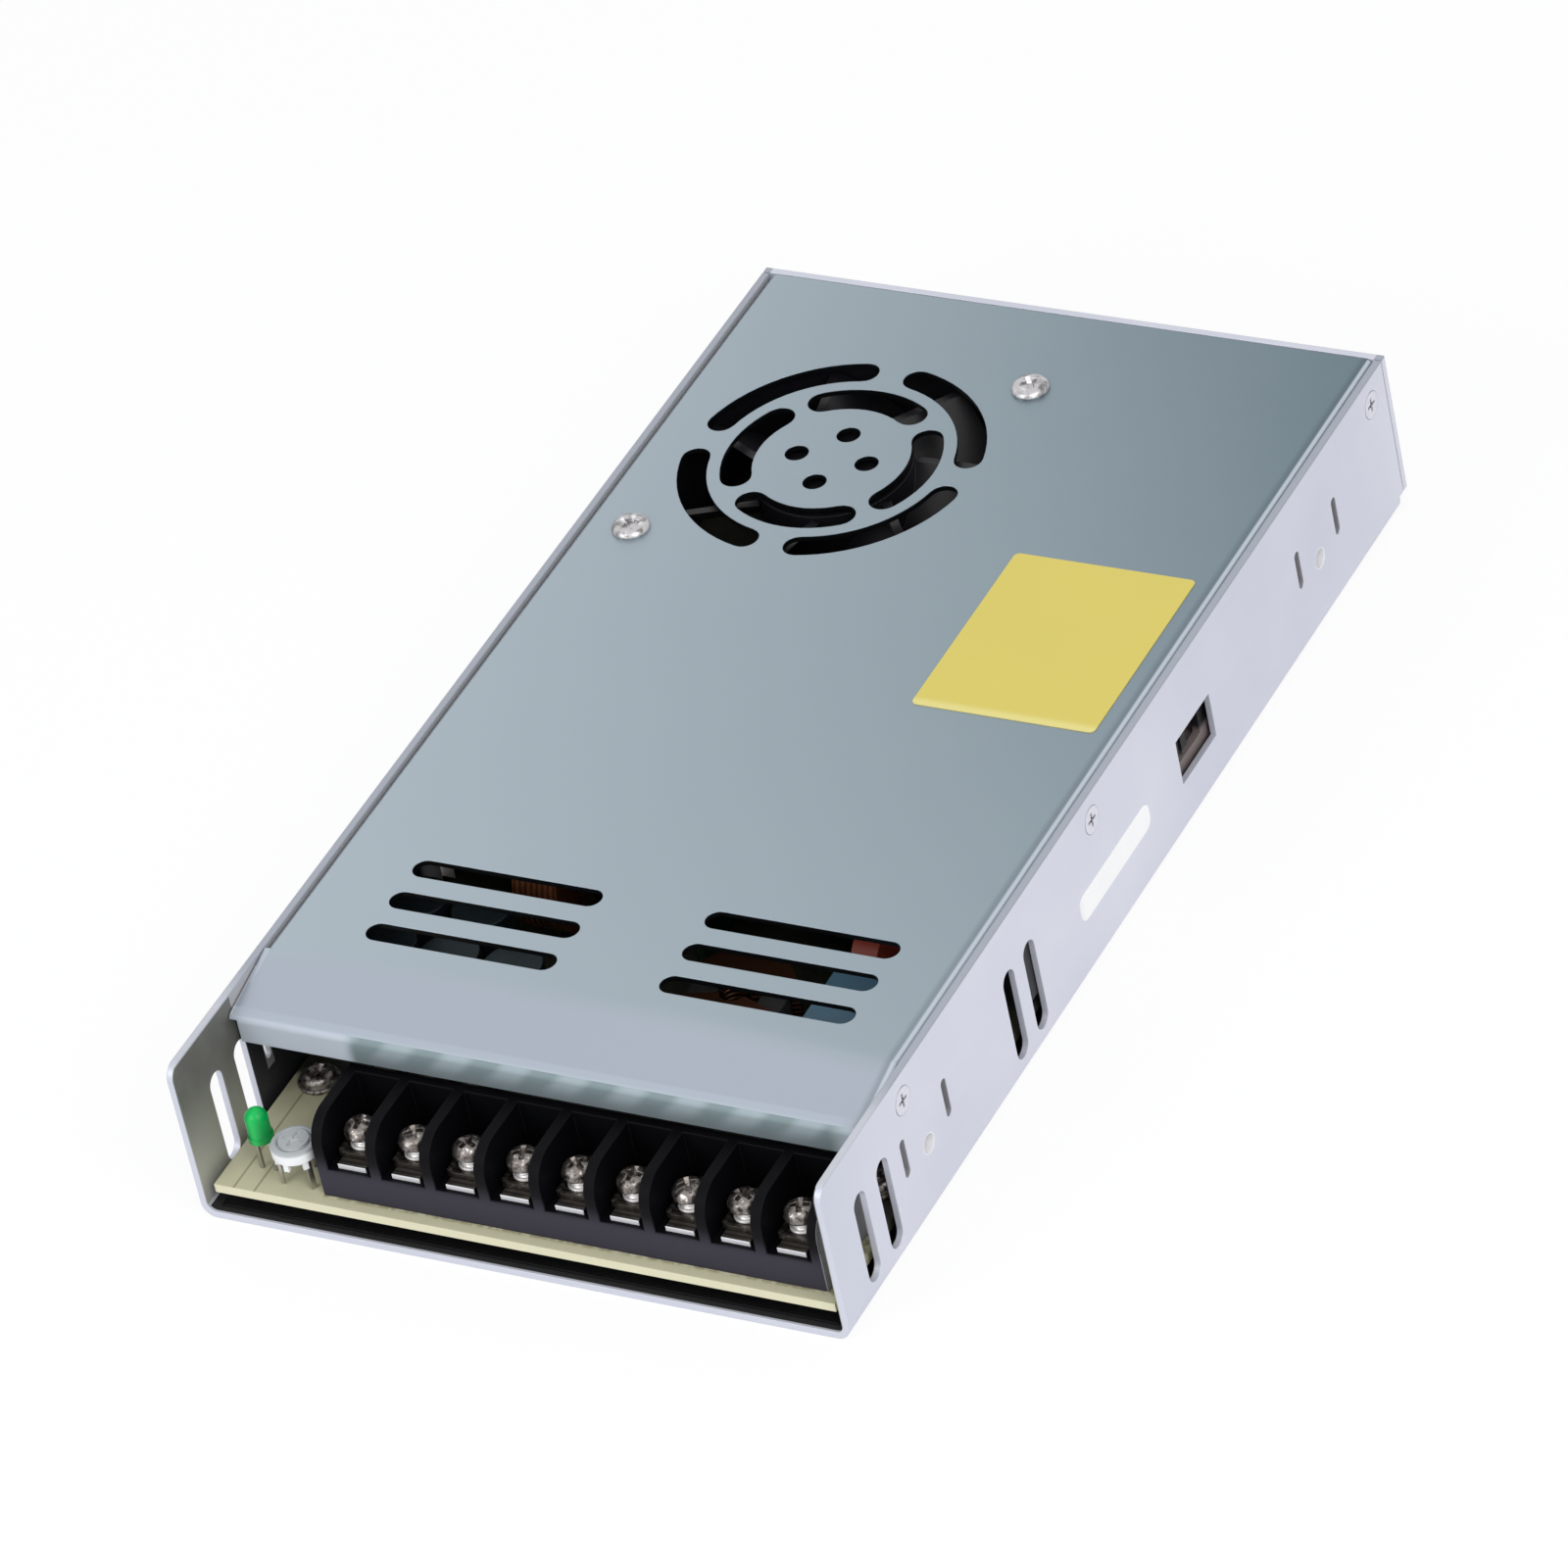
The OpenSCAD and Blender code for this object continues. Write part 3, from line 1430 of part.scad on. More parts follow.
module output_clamp_bar() {
    x = device_t - wall_in_x;
    z = board_top + device_h / 2;
    last = output_device_ys[len(output_device_ys) - 1];
    color("silver") box([x, front_y + output_device_ys[0] - device_w / 2, z - bar_h / 2],
        [x + bar_t, front_y + last + device_w / 2, z + bar_h / 2]);
}

module at_output_choke() {
    radius = choke_core_d / 2 + winding_gap + winding_t;
    on_board(output_choke_place) translate([-choke_core_w / 2, 0, radius]) rotate([0, 90, 0]) {
        children();
    }
}

module output_choke_core() {
    color("palegoldenrod") at_output_choke() ring_core(choke_core_d, choke_core_hole, choke_core_w);
}

module output_choke_winding() {
    color("chocolate") at_output_choke() rotate([0, 0, 90]) {
        ring_winding(choke_core_d, choke_core_hole, choke_core_w, winding_angle);
    }
}

module output_capacitors() {
    color("#1d2a2e") for (row = [0:len(out_cap_columns) - 1]) {
        for (column = [0:out_cap_columns[row] - 1]) {
            on_board(out_cap_first + out_cap_pitch * [column, row]) can(out_cap_d, out_cap_h);
        }
    }
}

// ---- control parts ----

module control_board() {
    color("darkgreen") on_board(control_place) translate([-control_t / 2, -control_l / 2, 0]) {
        cube([control_t, control_l, control_h]);
    }
}

module control_chip() {
    chip_t = 1.6;
    chip_h = 6;
    color("#202020") on_board(control_place) translate([control_t / 2, -chip_l / 2, control_h / 2]) {
        translate([0, 0, -chip_h / 2]) cube([chip_t, chip_l, chip_h]);
    }
}

module optocouplers() {
    color("#f0f0ec") for (p = opto_places) {
        on_board(p) translate([-opto_w / 2, -opto_l / 2, 0]) cube([opto_w, opto_l, opto_h]);
    }
}

// Each resistor lies along the case on two bent leads
module load_resistors() {
    rise = 0.8;
    lead_t = 0.8;
    reach = resistor_l / 2 + 1;
    color("tan") for (p = resistor_places) {
        on_board(p) {
            translate([0, 0, rise + resistor_d / 2]) rotate([90, 0, 0]) {
                cylinder(d = resistor_d, h = resistor_l, center = true);
                cylinder(d = lead_t, h = 2 * reach, center = true);
            }
            for (side = [-1, 1]) {
                translate([0, side * reach, 0]) cylinder(d = lead_t, h = rise + resistor_d / 2);
            }
        }
    }
}

chassis();
cover();
cover_screws();
cover_label();
side_label();
insulating_film();
circuit_board();
board_standoffs();
board_screws();
terminal_block();
terminal_tabs();
terminal_clamps();
terminal_screws();
led_lens();
led_leads();
trimmer_body();
trimmer_legs();
trimmer_rotor();
selector_body();
selector_slider();
fan_frame();
fan_bearing();
fan_stator();
fan_impeller();
fan_magnet();
fan_shaft();
fan_screws();
fan_lead();
fan_plug();
fan_header();
fuse();
fuse_clips();
inrush_thermistor();
surge_varistor();
x_capacitor();
line_choke_core();
line_choke_windings();
y_capacitors();
bridge_rectifier();
bulk_capacitors();
inrush_relay();
primary_transistors();
primary_clamp_bar();
drive_transformer();
transformer_core();
transformer_bobbin();
transformer_winding();
output_rectifiers();
output_clamp_bar();
output_choke_core();
output_choke_winding();
output_capacitors();
control_board();
control_chip();
optocouplers();
load_resistors();
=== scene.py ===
import math

import bmesh
import bpy
from mathutils import Matrix, Vector


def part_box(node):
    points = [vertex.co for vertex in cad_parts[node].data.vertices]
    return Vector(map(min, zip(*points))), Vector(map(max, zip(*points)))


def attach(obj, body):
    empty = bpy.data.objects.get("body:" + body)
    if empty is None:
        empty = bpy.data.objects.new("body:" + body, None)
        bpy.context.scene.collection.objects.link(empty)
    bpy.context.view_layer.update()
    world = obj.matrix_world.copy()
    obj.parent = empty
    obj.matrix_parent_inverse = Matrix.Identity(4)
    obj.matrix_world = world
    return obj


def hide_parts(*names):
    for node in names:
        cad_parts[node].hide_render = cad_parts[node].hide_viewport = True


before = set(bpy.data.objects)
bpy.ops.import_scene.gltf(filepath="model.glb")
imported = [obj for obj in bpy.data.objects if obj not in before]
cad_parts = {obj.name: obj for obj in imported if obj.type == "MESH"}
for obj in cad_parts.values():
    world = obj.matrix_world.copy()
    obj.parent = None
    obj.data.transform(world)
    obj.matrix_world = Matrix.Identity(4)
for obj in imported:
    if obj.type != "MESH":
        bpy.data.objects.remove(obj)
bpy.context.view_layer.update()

scene = bpy.context.scene
print("frame loaded:", len(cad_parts), "nodes")


# Shader maths: a Wire is a socket that can be used in sums, and a Finish is one material with its nodes
class Wire:
    def __init__(self, finish, socket):
        self.finish = finish
        self.socket = socket

    def maths(self, operation, *values):
        return self.finish.node("ShaderNodeMath", {"operation": operation}, dict(enumerate(values)))

    def __add__(self, other):
        return self.maths("ADD", self, other)

    def __radd__(self, other):
        return self.maths("ADD", other, self)

    def __sub__(self, other):
        return self.maths("SUBTRACT", self, other)

    def __rsub__(self, other):
        return self.maths("SUBTRACT", other, self)

    def __mul__(self, other):
        return self.maths("MULTIPLY", self, other)

    def __rmul__(self, other):
        return self.maths("MULTIPLY", other, self)

    def __abs__(self):
        return self.maths("ABSOLUTE", self)

    def above(self, limit):
        return self.maths("GREATER_THAN", self, limit)

    def below(self, limit):
        return self.maths("LESS_THAN", self, limit)

    def wave(self, pitch, start=0.0):  # 1 at start and every pitch after it, 0 half way between
        return self.maths("COSINE", (self - start) * (2 * math.pi / pitch)) * 0.5 + 0.5

    def fade(self, start, end):  # 0 at start, 1 at end, smooth between
        return self.finish.node("ShaderNodeMapRange", {"interpolation_type": "SMOOTHSTEP"},
                                {0: self, 1: start, 2: end, 3: 0.0, 4: 1.0})


class Finish:
    def __init__(self, name):
        self.material = bpy.data.materials.new(name)
        self.material.use_nodes = True
        self.tree = self.material.node_tree
        self.tree.nodes.clear()
        self.place = self.node("ShaderNodeTexCoord", out="Object")

    def node(self, kind, settings=None, inputs=None, out=0):
        made = self.tree.nodes.new(kind)
        for key, value in (settings or {}).items():
            if key == "stops":
                self.setStops(made.color_ramp, value)
            else:
                setattr(made, key, value)
        for key, value in (inputs or {}).items():
            if isinstance(value, Wire):
                self.tree.links.new(value.socket, made.inputs[key])
            else:
                made.inputs[key].default_value = value
        return Wire(self, made.outputs[out])

    def setStops(self, ramp, stops):
        while len(ramp.elements) > 1:
            ramp.elements.remove(ramp.elements[-1])
        for i, (where, colour) in enumerate(stops):
            stop = ramp.elements[0] if i == 0 else ramp.elements.new(where)
            stop.position = where
            stop.color = (*colour, 1)

    def axes(self):
        made = self.tree.nodes.new("ShaderNodeSeparateXYZ")
        self.tree.links.new(self.place.socket, made.inputs[0])
        return [Wire(self, made.outputs[i]) for i in range(3)]

    def stretched(self, scale):
        return self.node("ShaderNodeMapping", {"vector_type": "TEXTURE"},
                         {"Vector": self.place, "Scale": tuple(1 / s for s in scale)})

    def noise(self, scale, detail=3.0, rough=0.5, where=None):
        return self.node("ShaderNodeTexNoise", None, {"Vector": where or self.place, "Scale": scale,
                                                      "Detail": detail, "Roughness": rough})

    def mix(self, factor, first, second):
        made = self.tree.nodes.new("ShaderNodeMix")
        made.data_type = "RGBA"
        for key, value in ((0, factor), (6, first), (7, second)):
            if isinstance(value, Wire):
                self.tree.links.new(value.socket, made.inputs[key])
            else:
                made.inputs[key].default_value = value if key == 0 else (*value, 1)
        return Wire(self, made.outputs[2])

    def most(self, first, second):
        return self.node("ShaderNodeMath", {"operation": "MAXIMUM"}, {0: first, 1: second})

    def least(self, first, second):
        return self.node("ShaderNodeMath", {"operation": "MINIMUM"}, {0: first, 1: second})

    def ramp(self, value, stops):
        return self.node("ShaderNodeValToRGB", {"stops": stops}, {0: value})

    def softEdges(self, radius):
        return self.node("ShaderNodeBevel", {"samples": 6}, {"Radius": radius})

    def edgeMask(self, radius):  # 1 on an edge, 0 on a flat
        flat = self.node("ShaderNodeNewGeometry", out="Normal")
        dot = self.node("ShaderNodeVectorMath", {"operation": "DOT_PRODUCT"},
                        {0: self.softEdges(radius), 1: flat}, "Value")
        return (1 - dot).fade(0.01, 0.2)

    def bump(self, height, distance, normal=None, strength=1.0):
        inputs = {"Height": height, "Distance": distance, "Strength": strength}
        if normal:
            inputs["Normal"] = normal
        return self.node("ShaderNodeBump", None, inputs)

    def done(self, **sockets):  # the shader, its sockets named with _ for a space
        inputs = {}
        for key, value in sockets.items():
            plainColour = key.endswith("Color") and not isinstance(value, Wire)
            inputs[key.replace("_", " ")] = (*value, 1) if plainColour else value
        shader = self.node("ShaderNodeBsdfPrincipled", None, inputs)
        end = self.tree.nodes.new("ShaderNodeOutputMaterial")
        self.tree.links.new(shader.socket, end.inputs["Surface"])
        return self.material


def shade(colour, factor):
    return tuple(min(1.0, c * factor) for c in colour)


def dress(material, *nodes):
    for name in nodes:
        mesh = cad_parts[name].data
        mesh.materials.clear()
        mesh.materials.append(material)


# General metal: a slightly blotchy colour under a fine grain
def metalFinish(name, colour, rough):
    f = Finish(name)
    spread = 0.12
    worn = f.noise(225.0, 4)
    fine = f.noise(900.0, 2)
    tint = f.mix(worn, shade(colour, 1 - spread), shade(colour, 1 + spread))
    return f.done(Base_Color=tint, Roughness=rough * 0.75 + worn * rough * 0.5, Metallic=1.0,
                  Normal=f.bump(fine, 0.00002, f.softEdges(0.00015), 0.5))


# General plastic, lacquer and ferrite
def plasticFinish(name, colour, rough, gloss=0.5):
    f = Finish(name)
    spread = 0.15
    patch = f.noise(120.0, 3)
    fine = f.noise(1400.0, 2)
    tint = f.mix(patch, shade(colour, 1 - spread), shade(colour, 1 + spread))
    return f.done(Base_Color=tint, Roughness=rough - 0.08 + patch * 0.16, Specular_IOR_Level=gloss,
                  Normal=f.bump(fine, 0.00002, f.softEdges(0.0002), 0.6))


# The folded tray: pale outside, with painted shade on the tops of its walls, on its inner faces, deep under
# the lid and towards the front, and painted light in the gap beside the lid and in its tapped holes
trayValues = {
    "colour": (0.69, 0.705, 0.785), "cloudAndShadeColour": (0.55, 0.57, 0.66), "edgeColour": (0.82, 0.83, 0.87),
    "topShadeColour": (0.36, 0.385, 0.44), "frontTopShadeColour": (0.56, 0.575, 0.63), "gapLightColour": (0.95, 0.95, 0.97),
    "insideShadeLow": (0.47, 0.475, 0.43), "insideShadeHigh": (0.13, 0.13, 0.12), "depthShadeColour": (0.05, 0.05, 0.058),
    "boreLightColour": (0.90, 0.90, 0.92), "underColour": (0.007, 0.007, 0.008), "slitShadeColour": (0.42, 0.42, 0.45),
    "metallic": 0.35, "rough": 0.42, "cloudScale": 28.0, "rollScale": 260.0, "rollStretch": (1, 0.08, 1),
    "insideShadeScale": 160.0, "topScale": 300.0, "grainScale": 1800.0, "grainDepth": 0.00001, "softR": 0.00025,
    "edgeR": 0.0004, "edgeWearAndHighlight": 0.35,
    "frontShade": (0.085, 0.107),  # how far forward the walls and the floor take a painted shade
    "innerFace": (0.0548, 0.05645), "slitFace": 0.0573, "topFace": 0.0562, "underFace": 0.0561,
    "floorTop": 0.0024, "gapBottom": 0.0272, "topBottom": 0.0297, "insideShadeFade": (0.007, 0.025),
    "lidFront": -0.0885, "topFade": (0.080, 0.092), "rearInside": 0.1060,
    "slits": (-0.0824, -0.0676, 0.0676, 0.0824), "slitHalf": 0.0011, "slitBottom": 0.0105, "slitTop": 0.021,
    "bores": (-0.075, 0.075), "boreHeight": 0.0125, "boreR": 0.0018,
    "underFront": -0.1070, "underBottom": 0.0011, "underFade": (0.0042, 0.0032)}


def trayFinish(v):
    f = Finish("foldedAluminium")
    x, y, z = f.axes()
    side, forward = abs(x), y * -1
    cloud = f.noise(v["cloudScale"], 3)
    rolled = f.noise(v["rollScale"], 3, 0.6, f.stretched(v["rollStretch"]))
    tint = f.mix((cloud * 1.6 - 0.3) * 0.8 + rolled * 0.2, v["cloudAndShadeColour"], v["colour"])
    # painted shade, growing towards the front
    tint = f.mix(forward.fade(*v["frontShade"]) * 0.5, tint, v["cloudAndShadeColour"])

    nearFace, farFace = v["innerFace"]
    inner = side.below(farFace) * side.above(nearFace) * z.above(v["floorTop"])
    innerFront = inner * y.below(v["lidFront"])  # in front of the lid
    # painted shade and painted reflection on the inner faces of the walls in front of the lid, darker higher
    # up
    dull = f.mix(z.fade(*v["insideShadeFade"]), v["insideShadeLow"], v["insideShadeHigh"])
    dull = f.mix(f.noise(v["insideShadeScale"], 3) * 0.5, dull, shade(v["insideShadeLow"], 0.8))
    tint = f.mix(innerFront, tint, dull)
    innerDepth = inner * y.above(v["lidFront"]) * y.below(v["rearInside"])  # under the lid: painted shade deep down, painted light in the gap beside the lid, half as bright on the left
    paintedGapLight = f.mix(x.above(0.0), shade(v["gapLightColour"], 0.5), v["gapLightColour"])
    tint = f.mix(innerDepth, tint, f.mix(z.above(v["gapBottom"]), v["depthShadeColour"], paintedGapLight))

    # paler edges: partly wear, partly painted highlight
    worn = f.edgeMask(v["edgeR"]) * (1 - innerFront) * (1 - innerDepth)
    tint = f.mix(worn * v["edgeWearAndHighlight"], tint, v["edgeColour"])
    # painted shade on the tops of the walls, less in front of the lid
    wallTop = z.above(v["topBottom"]) * side.above(v["topFace"])
    top = f.mix(forward.fade(*v["topFade"]), v["topShadeColour"], v["frontTopShadeColour"])
    top = f.mix(f.noise(v["topScale"], 3) * 0.3, top, shade(v["topShadeColour"], 0.8))
    tint = f.mix(wallTop, tint, top)

    slit = 0.0
    for place in v["slits"]:
        slit = slit + abs(y - place).below(v["slitHalf"])
    slit = slit * side.below(v["slitFace"]) * z.above(v["slitBottom"]) * z.below(v["slitTop"])
    tint = f.mix(slit, tint, v["slitShadeColour"])  # painted shade on the cut faces of the slits
    bore = 0.0
    for place in v["bores"]:  # the tapped holes in the walls, painted light inside
        up = z - v["boreHeight"]
        bore = bore + ((y - place) * (y - place) + up * up).below(v["boreR"] ** 2)
    tint = f.mix(bore, tint, v["boreLightColour"])
    under = y.above(v["underFront"]) * z.above(v["underBottom"]) * z.fade(*v["underFade"])
    under = under * side.below(v["underFace"]) * y.below(v["rearInside"])  # the floor, shaded by the board
    tint = f.mix(under, tint, v["underColour"])
    fine = f.noise(v["grainScale"], 2)
    return f.done(Base_Color=tint, Metallic=v["metallic"] * (1 - bore) * (1 - under) * (1 - wallTop),
                  Roughness=v["rough"] + rolled * 0.08 + under * 0.3,
                  Normal=f.bump(fine, v["grainDepth"], f.softEdges(v["softR"]), 0.5))


dress(trayFinish(trayValues), "chassis")

# The lid: zinc plated sheet, painted light near the front left falling off to painted shade at the rear right
# corner, painted highlights along its long bends and painted reflections of the terminal block on its lip
lidValues = {
    "litNearColour": (0.416, 0.483, 0.536), "shadedFarColour": (0.12, 0.177, 0.214), "bendColour": (0.46, 0.54, 0.57),
    "lipColour": (0.37, 0.45, 0.485), "lipEndReflection": (0.445, 0.49, 0.555), "lipShade": (0.02, 0.024, 0.027),
    "barrierReflectionColour": (0.225, 0.295, 0.31), "slopeShadeColour": (0.40, 0.445, 0.515),
    "bendHighlight": (0.56, 0.61, 0.68), "cutShadeColour": (0.012, 0.014, 0.016), "gapLight": (0.80, 0.82, 0.86),
    "metallic": 0.8, "rough": 0.36, "cloudScale": 18.0, "rollScale": 420.0, "rollStretch": (0.05, 1, 1),
    "grainScale": 1500.0, "grainDepth": 0.00001, "softR": 0.0002,
    "alongX": 4.35, "alongY": 2.43, "alongXY": 21.1, "alongStart": 0.375,  # how the painted light falls off to painted shade
    "slopeFade": (0.0725, 0.0790), "creaseBow": 1.1, "creaseDip": 0.03,
    "bendIn": (0.0550, 0.0553), "bendOut": (0.0556, 0.0559), "bendBottom": 0.0285,  # the long bends, with painted highlights
    "besideIn": (0.0535, 0.0548), "besideOut": (0.0549, 0.0551), "gapFace": 0.05575, "gapTop": 0.0292,
    "cutTop": 0.02985, "cutSide": 0.0535, "cutFront": -0.0735,  # painted shade on the cut faces of the grille and the slots
    "lipFace": 0.0896, "lipTop": 0.0272, "lipBend": -0.0880,
    "reflectionPitch": 0.01035, "reflectionStart": -0.0312, "reflectionLean": 0.9, "reflectionMiddle": 0.0262,
    "reflectionFade": (0.0215, 0.0255), "reflectionFrom": -0.0375, "reflectionBlur": 220.0,
    "barredLeft": (-0.0362, -0.0335), "barredRight": (0.0495, 0.0535), "barredFade": (0.0262, 0.0225)}


def lidFinish(v):
    f = Finish("zincedSteel")
    x, y, z = f.axes()
    side, right = abs(x), x.above(0.0)
    lightFalloff = x * v["alongX"] + y * v["alongY"] + x * y * v["alongXY"] + v["alongStart"]
    cloud = f.noise(v["cloudScale"], 4)
    rolled = f.noise(v["rollScale"], 3, 0.6, f.stretched(v["rollStretch"]))
    # painted light near the front left, falling off to painted shade at the rear right
    tint = f.mix(lightFalloff, v["litNearColour"], v["shadedFarColour"])
    # painted shade on the slope in front of the crease
    crease = y + x * x * v["creaseBow"] - side * v["creaseDip"]
    tint = f.mix((crease * -1).fade(*v["slopeFade"]), tint, v["slopeShadeColour"])
    tint = f.mix(cloud * 0.14, tint, v["bendColour"])

    # painted highlight along the long bends, brighter on the right
    longBend = side.fade(*v["bendIn"]) * (1 - side.fade(*v["bendOut"]))
    tint = f.mix(longBend * (0.45 + right * 0.45) * z.above(v["bendBottom"]), tint, v["bendHighlight"])
    # painted shade in a line beside the right bend
    besideShade = side.fade(*v["besideIn"]) * (1 - side.fade(*v["besideOut"]))
    tint = f.mix(besideShade * 0.25 * right, tint, v["cutShadeColour"])
    # painted light on the flanges in the gap beside the walls, stronger on the right
    paintedGapLight = side.above(v["gapFace"]) * z.below(v["gapTop"])
    tint = f.mix(paintedGapLight * (0.4 + right * 0.6), tint, v["gapLight"])
    # painted shade on the cut faces of the grille and the slots
    cut = z.below(v["cutTop"]) * side.below(v["cutSide"]) * y.above(v["cutFront"])
    tint = f.mix(cut, tint, v["cutShadeColour"])

    # painted reflections of the block's barriers: slanting bands on the lip
    leaning = x - (z - v["reflectionMiddle"]) * v["reflectionLean"]
    barrierReflection = leaning.wave(v["reflectionPitch"], v["reflectionStart"]).fade(0.1, 0.95)
    barrierReflection = barrierReflection * z.fade(*v["reflectionFade"]) * x.above(v["reflectionFrom"]) + f.noise(v["reflectionBlur"], 3) * 0.25
    lipTint = f.mix(barrierReflection, v["lipColour"], v["barrierReflectionColour"])
    barred = x.fade(*v["barredLeft"]) * (1 - x.fade(*v["barredRight"]) * 0.7)  # above the block: painted reflection of the black block, and paler painted reflection at the lip's ends
    lipTint = f.mix(barred * (0.13 + z.fade(*v["barredFade"]) * 0.45), lipTint, v["lipShade"])
    lipTint = f.mix(barred, v["lipEndReflection"], lipTint)
    tint = f.mix((y * -1).above(v["lipFace"]) * z.below(v["lipTop"]), tint, lipTint)
    fine = f.noise(v["grainScale"], 2)
    lipBend = y.below(v["lipBend"])
    return f.done(Base_Color=tint, Metallic=v["metallic"] - lipBend * 0.6,
                  Roughness=v["rough"] - 0.04 + rolled * 0.08 + lipBend * 0.25,
                  Normal=f.bump(fine * 0.5 + rolled * 0.5, v["grainDepth"], f.softEdges(v["softR"]), 0.4))


dress(lidFinish(lidValues), "cover")

# Blank labels, their front ends another tone: the yellow one paler there, the white one with a painted shadow
labelValues = {"yellow": (0.70, 0.585, 0.13), "frontYellow": (0.78, 0.70, 0.27), "white": (0.93, 0.93, 0.93),
               "yellowFade": (0.0022, 0.0006), "whiteFade": (0.002, 0.0)}


def paperFinish(name, colour, frontEndColour, frontY, fade):
    f = Finish(name)
    y = f.axes()[1]
    fibres = f.noise(700.0, 4)
    blotch = f.noise(60.0, 3)
    frontEndTone = (y * -1).fade(-frontY - fade[0], -frontY - fade[1]) * 0.8
    tint = f.mix(blotch * 0.5 + fibres * 0.2, shade(colour, 0.93), shade(colour, 1.05))
    tint = f.mix(frontEndTone, tint, frontEndColour)
    return f.done(Base_Color=tint, Roughness=0.55 + fibres * 0.15,
                  Normal=f.bump(fibres, 0.00001, None, 0.4))


dress(paperFinish("yellowPaper", labelValues["yellow"], labelValues["frontYellow"],
                  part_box("cover_label")[0].y, labelValues["yellowFade"]), "cover_label")
# the white label's front end darker: a painted shadow
dress(paperFinish("whitePaper", labelValues["white"], shade(labelValues["white"], 0.9),
                  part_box("side_label")[0].y, labelValues["whiteFade"]), "side_label")

# The board, cream where it is bare at the front and with painted shade under the lid, and the film below it
boardValues = {
    "colour": (0.56, 0.54, 0.37), "traceColour": (0.25, 0.23, 0.13), "edgeColour": (0.74, 0.71, 0.52),
    "shadeUnderLidColour": (0.030, 0.032, 0.022), "traceHalf": 0.0002, "traceEnd": -0.082, "topFace": 0.0058,
    "traces": (  # x of each printed line and its two ends in y
        (-0.0515, -0.1062, 0.0), (-0.0478, -0.1062, -0.0945), (-0.0455, -0.0985, 0.0),
        (-0.0422, -0.0985, -0.0895), (-0.0408, -0.0985, 0.0)),
    "strokes": (-0.0925, -0.0905, -0.0885), "strokeLeft": 0.0435, "strokeHalf": 0.002,  # beside a screw
    "cutFace": 0.1061, "blockLeft": -0.0362, "footFade": (-0.1048, -0.1040),
    "shadeUnderLidFade": (-0.0795, -0.0775), "shadeUnderLidByBlock": -0.0905,
    "fibreScale": 500.0, "fibreStretch": (1, 0.25, 1), "fibreDepth": 0.00002, "blotchScale": 80.0,
    "footDarkScale": 900.0}


def boardFinish(v):
    f = Finish("creamBoard")
    x, y, z = f.axes()
    fibres = f.noise(v["fibreScale"], 4, 0.6, f.stretched(v["fibreStretch"]))
    lines = 0.0
    for traceX, start, end in v["traces"]:
        lines = lines + abs(x - traceX).below(v["traceHalf"]) * y.below(end) * y.above(start)
    for strokeY in v["strokes"]:
        across = abs(x + v["strokeLeft"]).below(v["strokeHalf"])
        lines = lines + abs(y - strokeY).below(v["traceHalf"]) * across
    lines = f.least(lines, 1.0) * y.below(v["traceEnd"]) * z.above(v["topFace"])
    blotch = f.noise(v["blotchScale"], 3)
    tint = f.mix(fibres * 0.4 + blotch * 0.3, shade(v["colour"], 0.9), shade(v["colour"], 1.08))
    tint = f.mix(lines * 0.75, tint, v["traceColour"])
    tint = f.mix((y * -1).above(v["cutFace"]) * 0.6, tint, v["edgeColour"])
    byBlock = x.above(v["blockLeft"])
    footDark = y.fade(*v["footFade"]) * byBlock * f.noise(v["footDarkScale"], 3).fade(0.35, 0.6)  # darker in blotches along the block's foot
    tint = f.mix(footDark * 0.85, tint, v["traceColour"])
    # painted shade under the lid and behind the block
    shadeUnderLid = f.most(y.fade(*v["shadeUnderLidFade"]), y.above(v["shadeUnderLidByBlock"]) * byBlock)
    tint = f.mix(shadeUnderLid, tint, f.mix(blotch, v["shadeUnderLidColour"], shade(v["shadeUnderLidColour"], 1.8)))
    return f.done(Base_Color=tint, Roughness=0.5 + fibres * 0.1,
                  Normal=f.bump(fibres, v["fibreDepth"], None, 0.5))


dress(boardFinish(boardValues), "circuit_board")
# the film near black, standing in for the shade under the board as well
dress(plasticFinish("blackFilm", (0.004, 0.004, 0.005), 0.5, 0.2), "insulating_film")
dress(metalFinish("tinnedSteel", (0.50, 0.48, 0.45), 0.3), "board_standoffs", "led_leads", "trimmer_legs",
      "fuse_clips", "primary_clamp_bar", "output_clamp_bar")
print("sheet metal, labels and board dressed")

# The terminal block: painted light on its front face low down and on its right end, its upper rims paler
blockValues = {
    "colour": (0.0022, 0.0022, 0.0032), "faceLightColour": (0.040, 0.038, 0.052), "endLightColour": (0.22, 0.22, 0.23),
    "rimColour": (0.009, 0.0075, 0.009), "rimR": 0.0004, "rimBottom": 0.0135, "faceDepth": 0.0003,
    "faceFade": (0.0150, 0.0100), "endDepth": 0.0002, "endTop": 0.022, "patchScale": 150.0,
    "grainScale": 1600.0, "grainDepth": 0.00002, "softR": 0.0003}


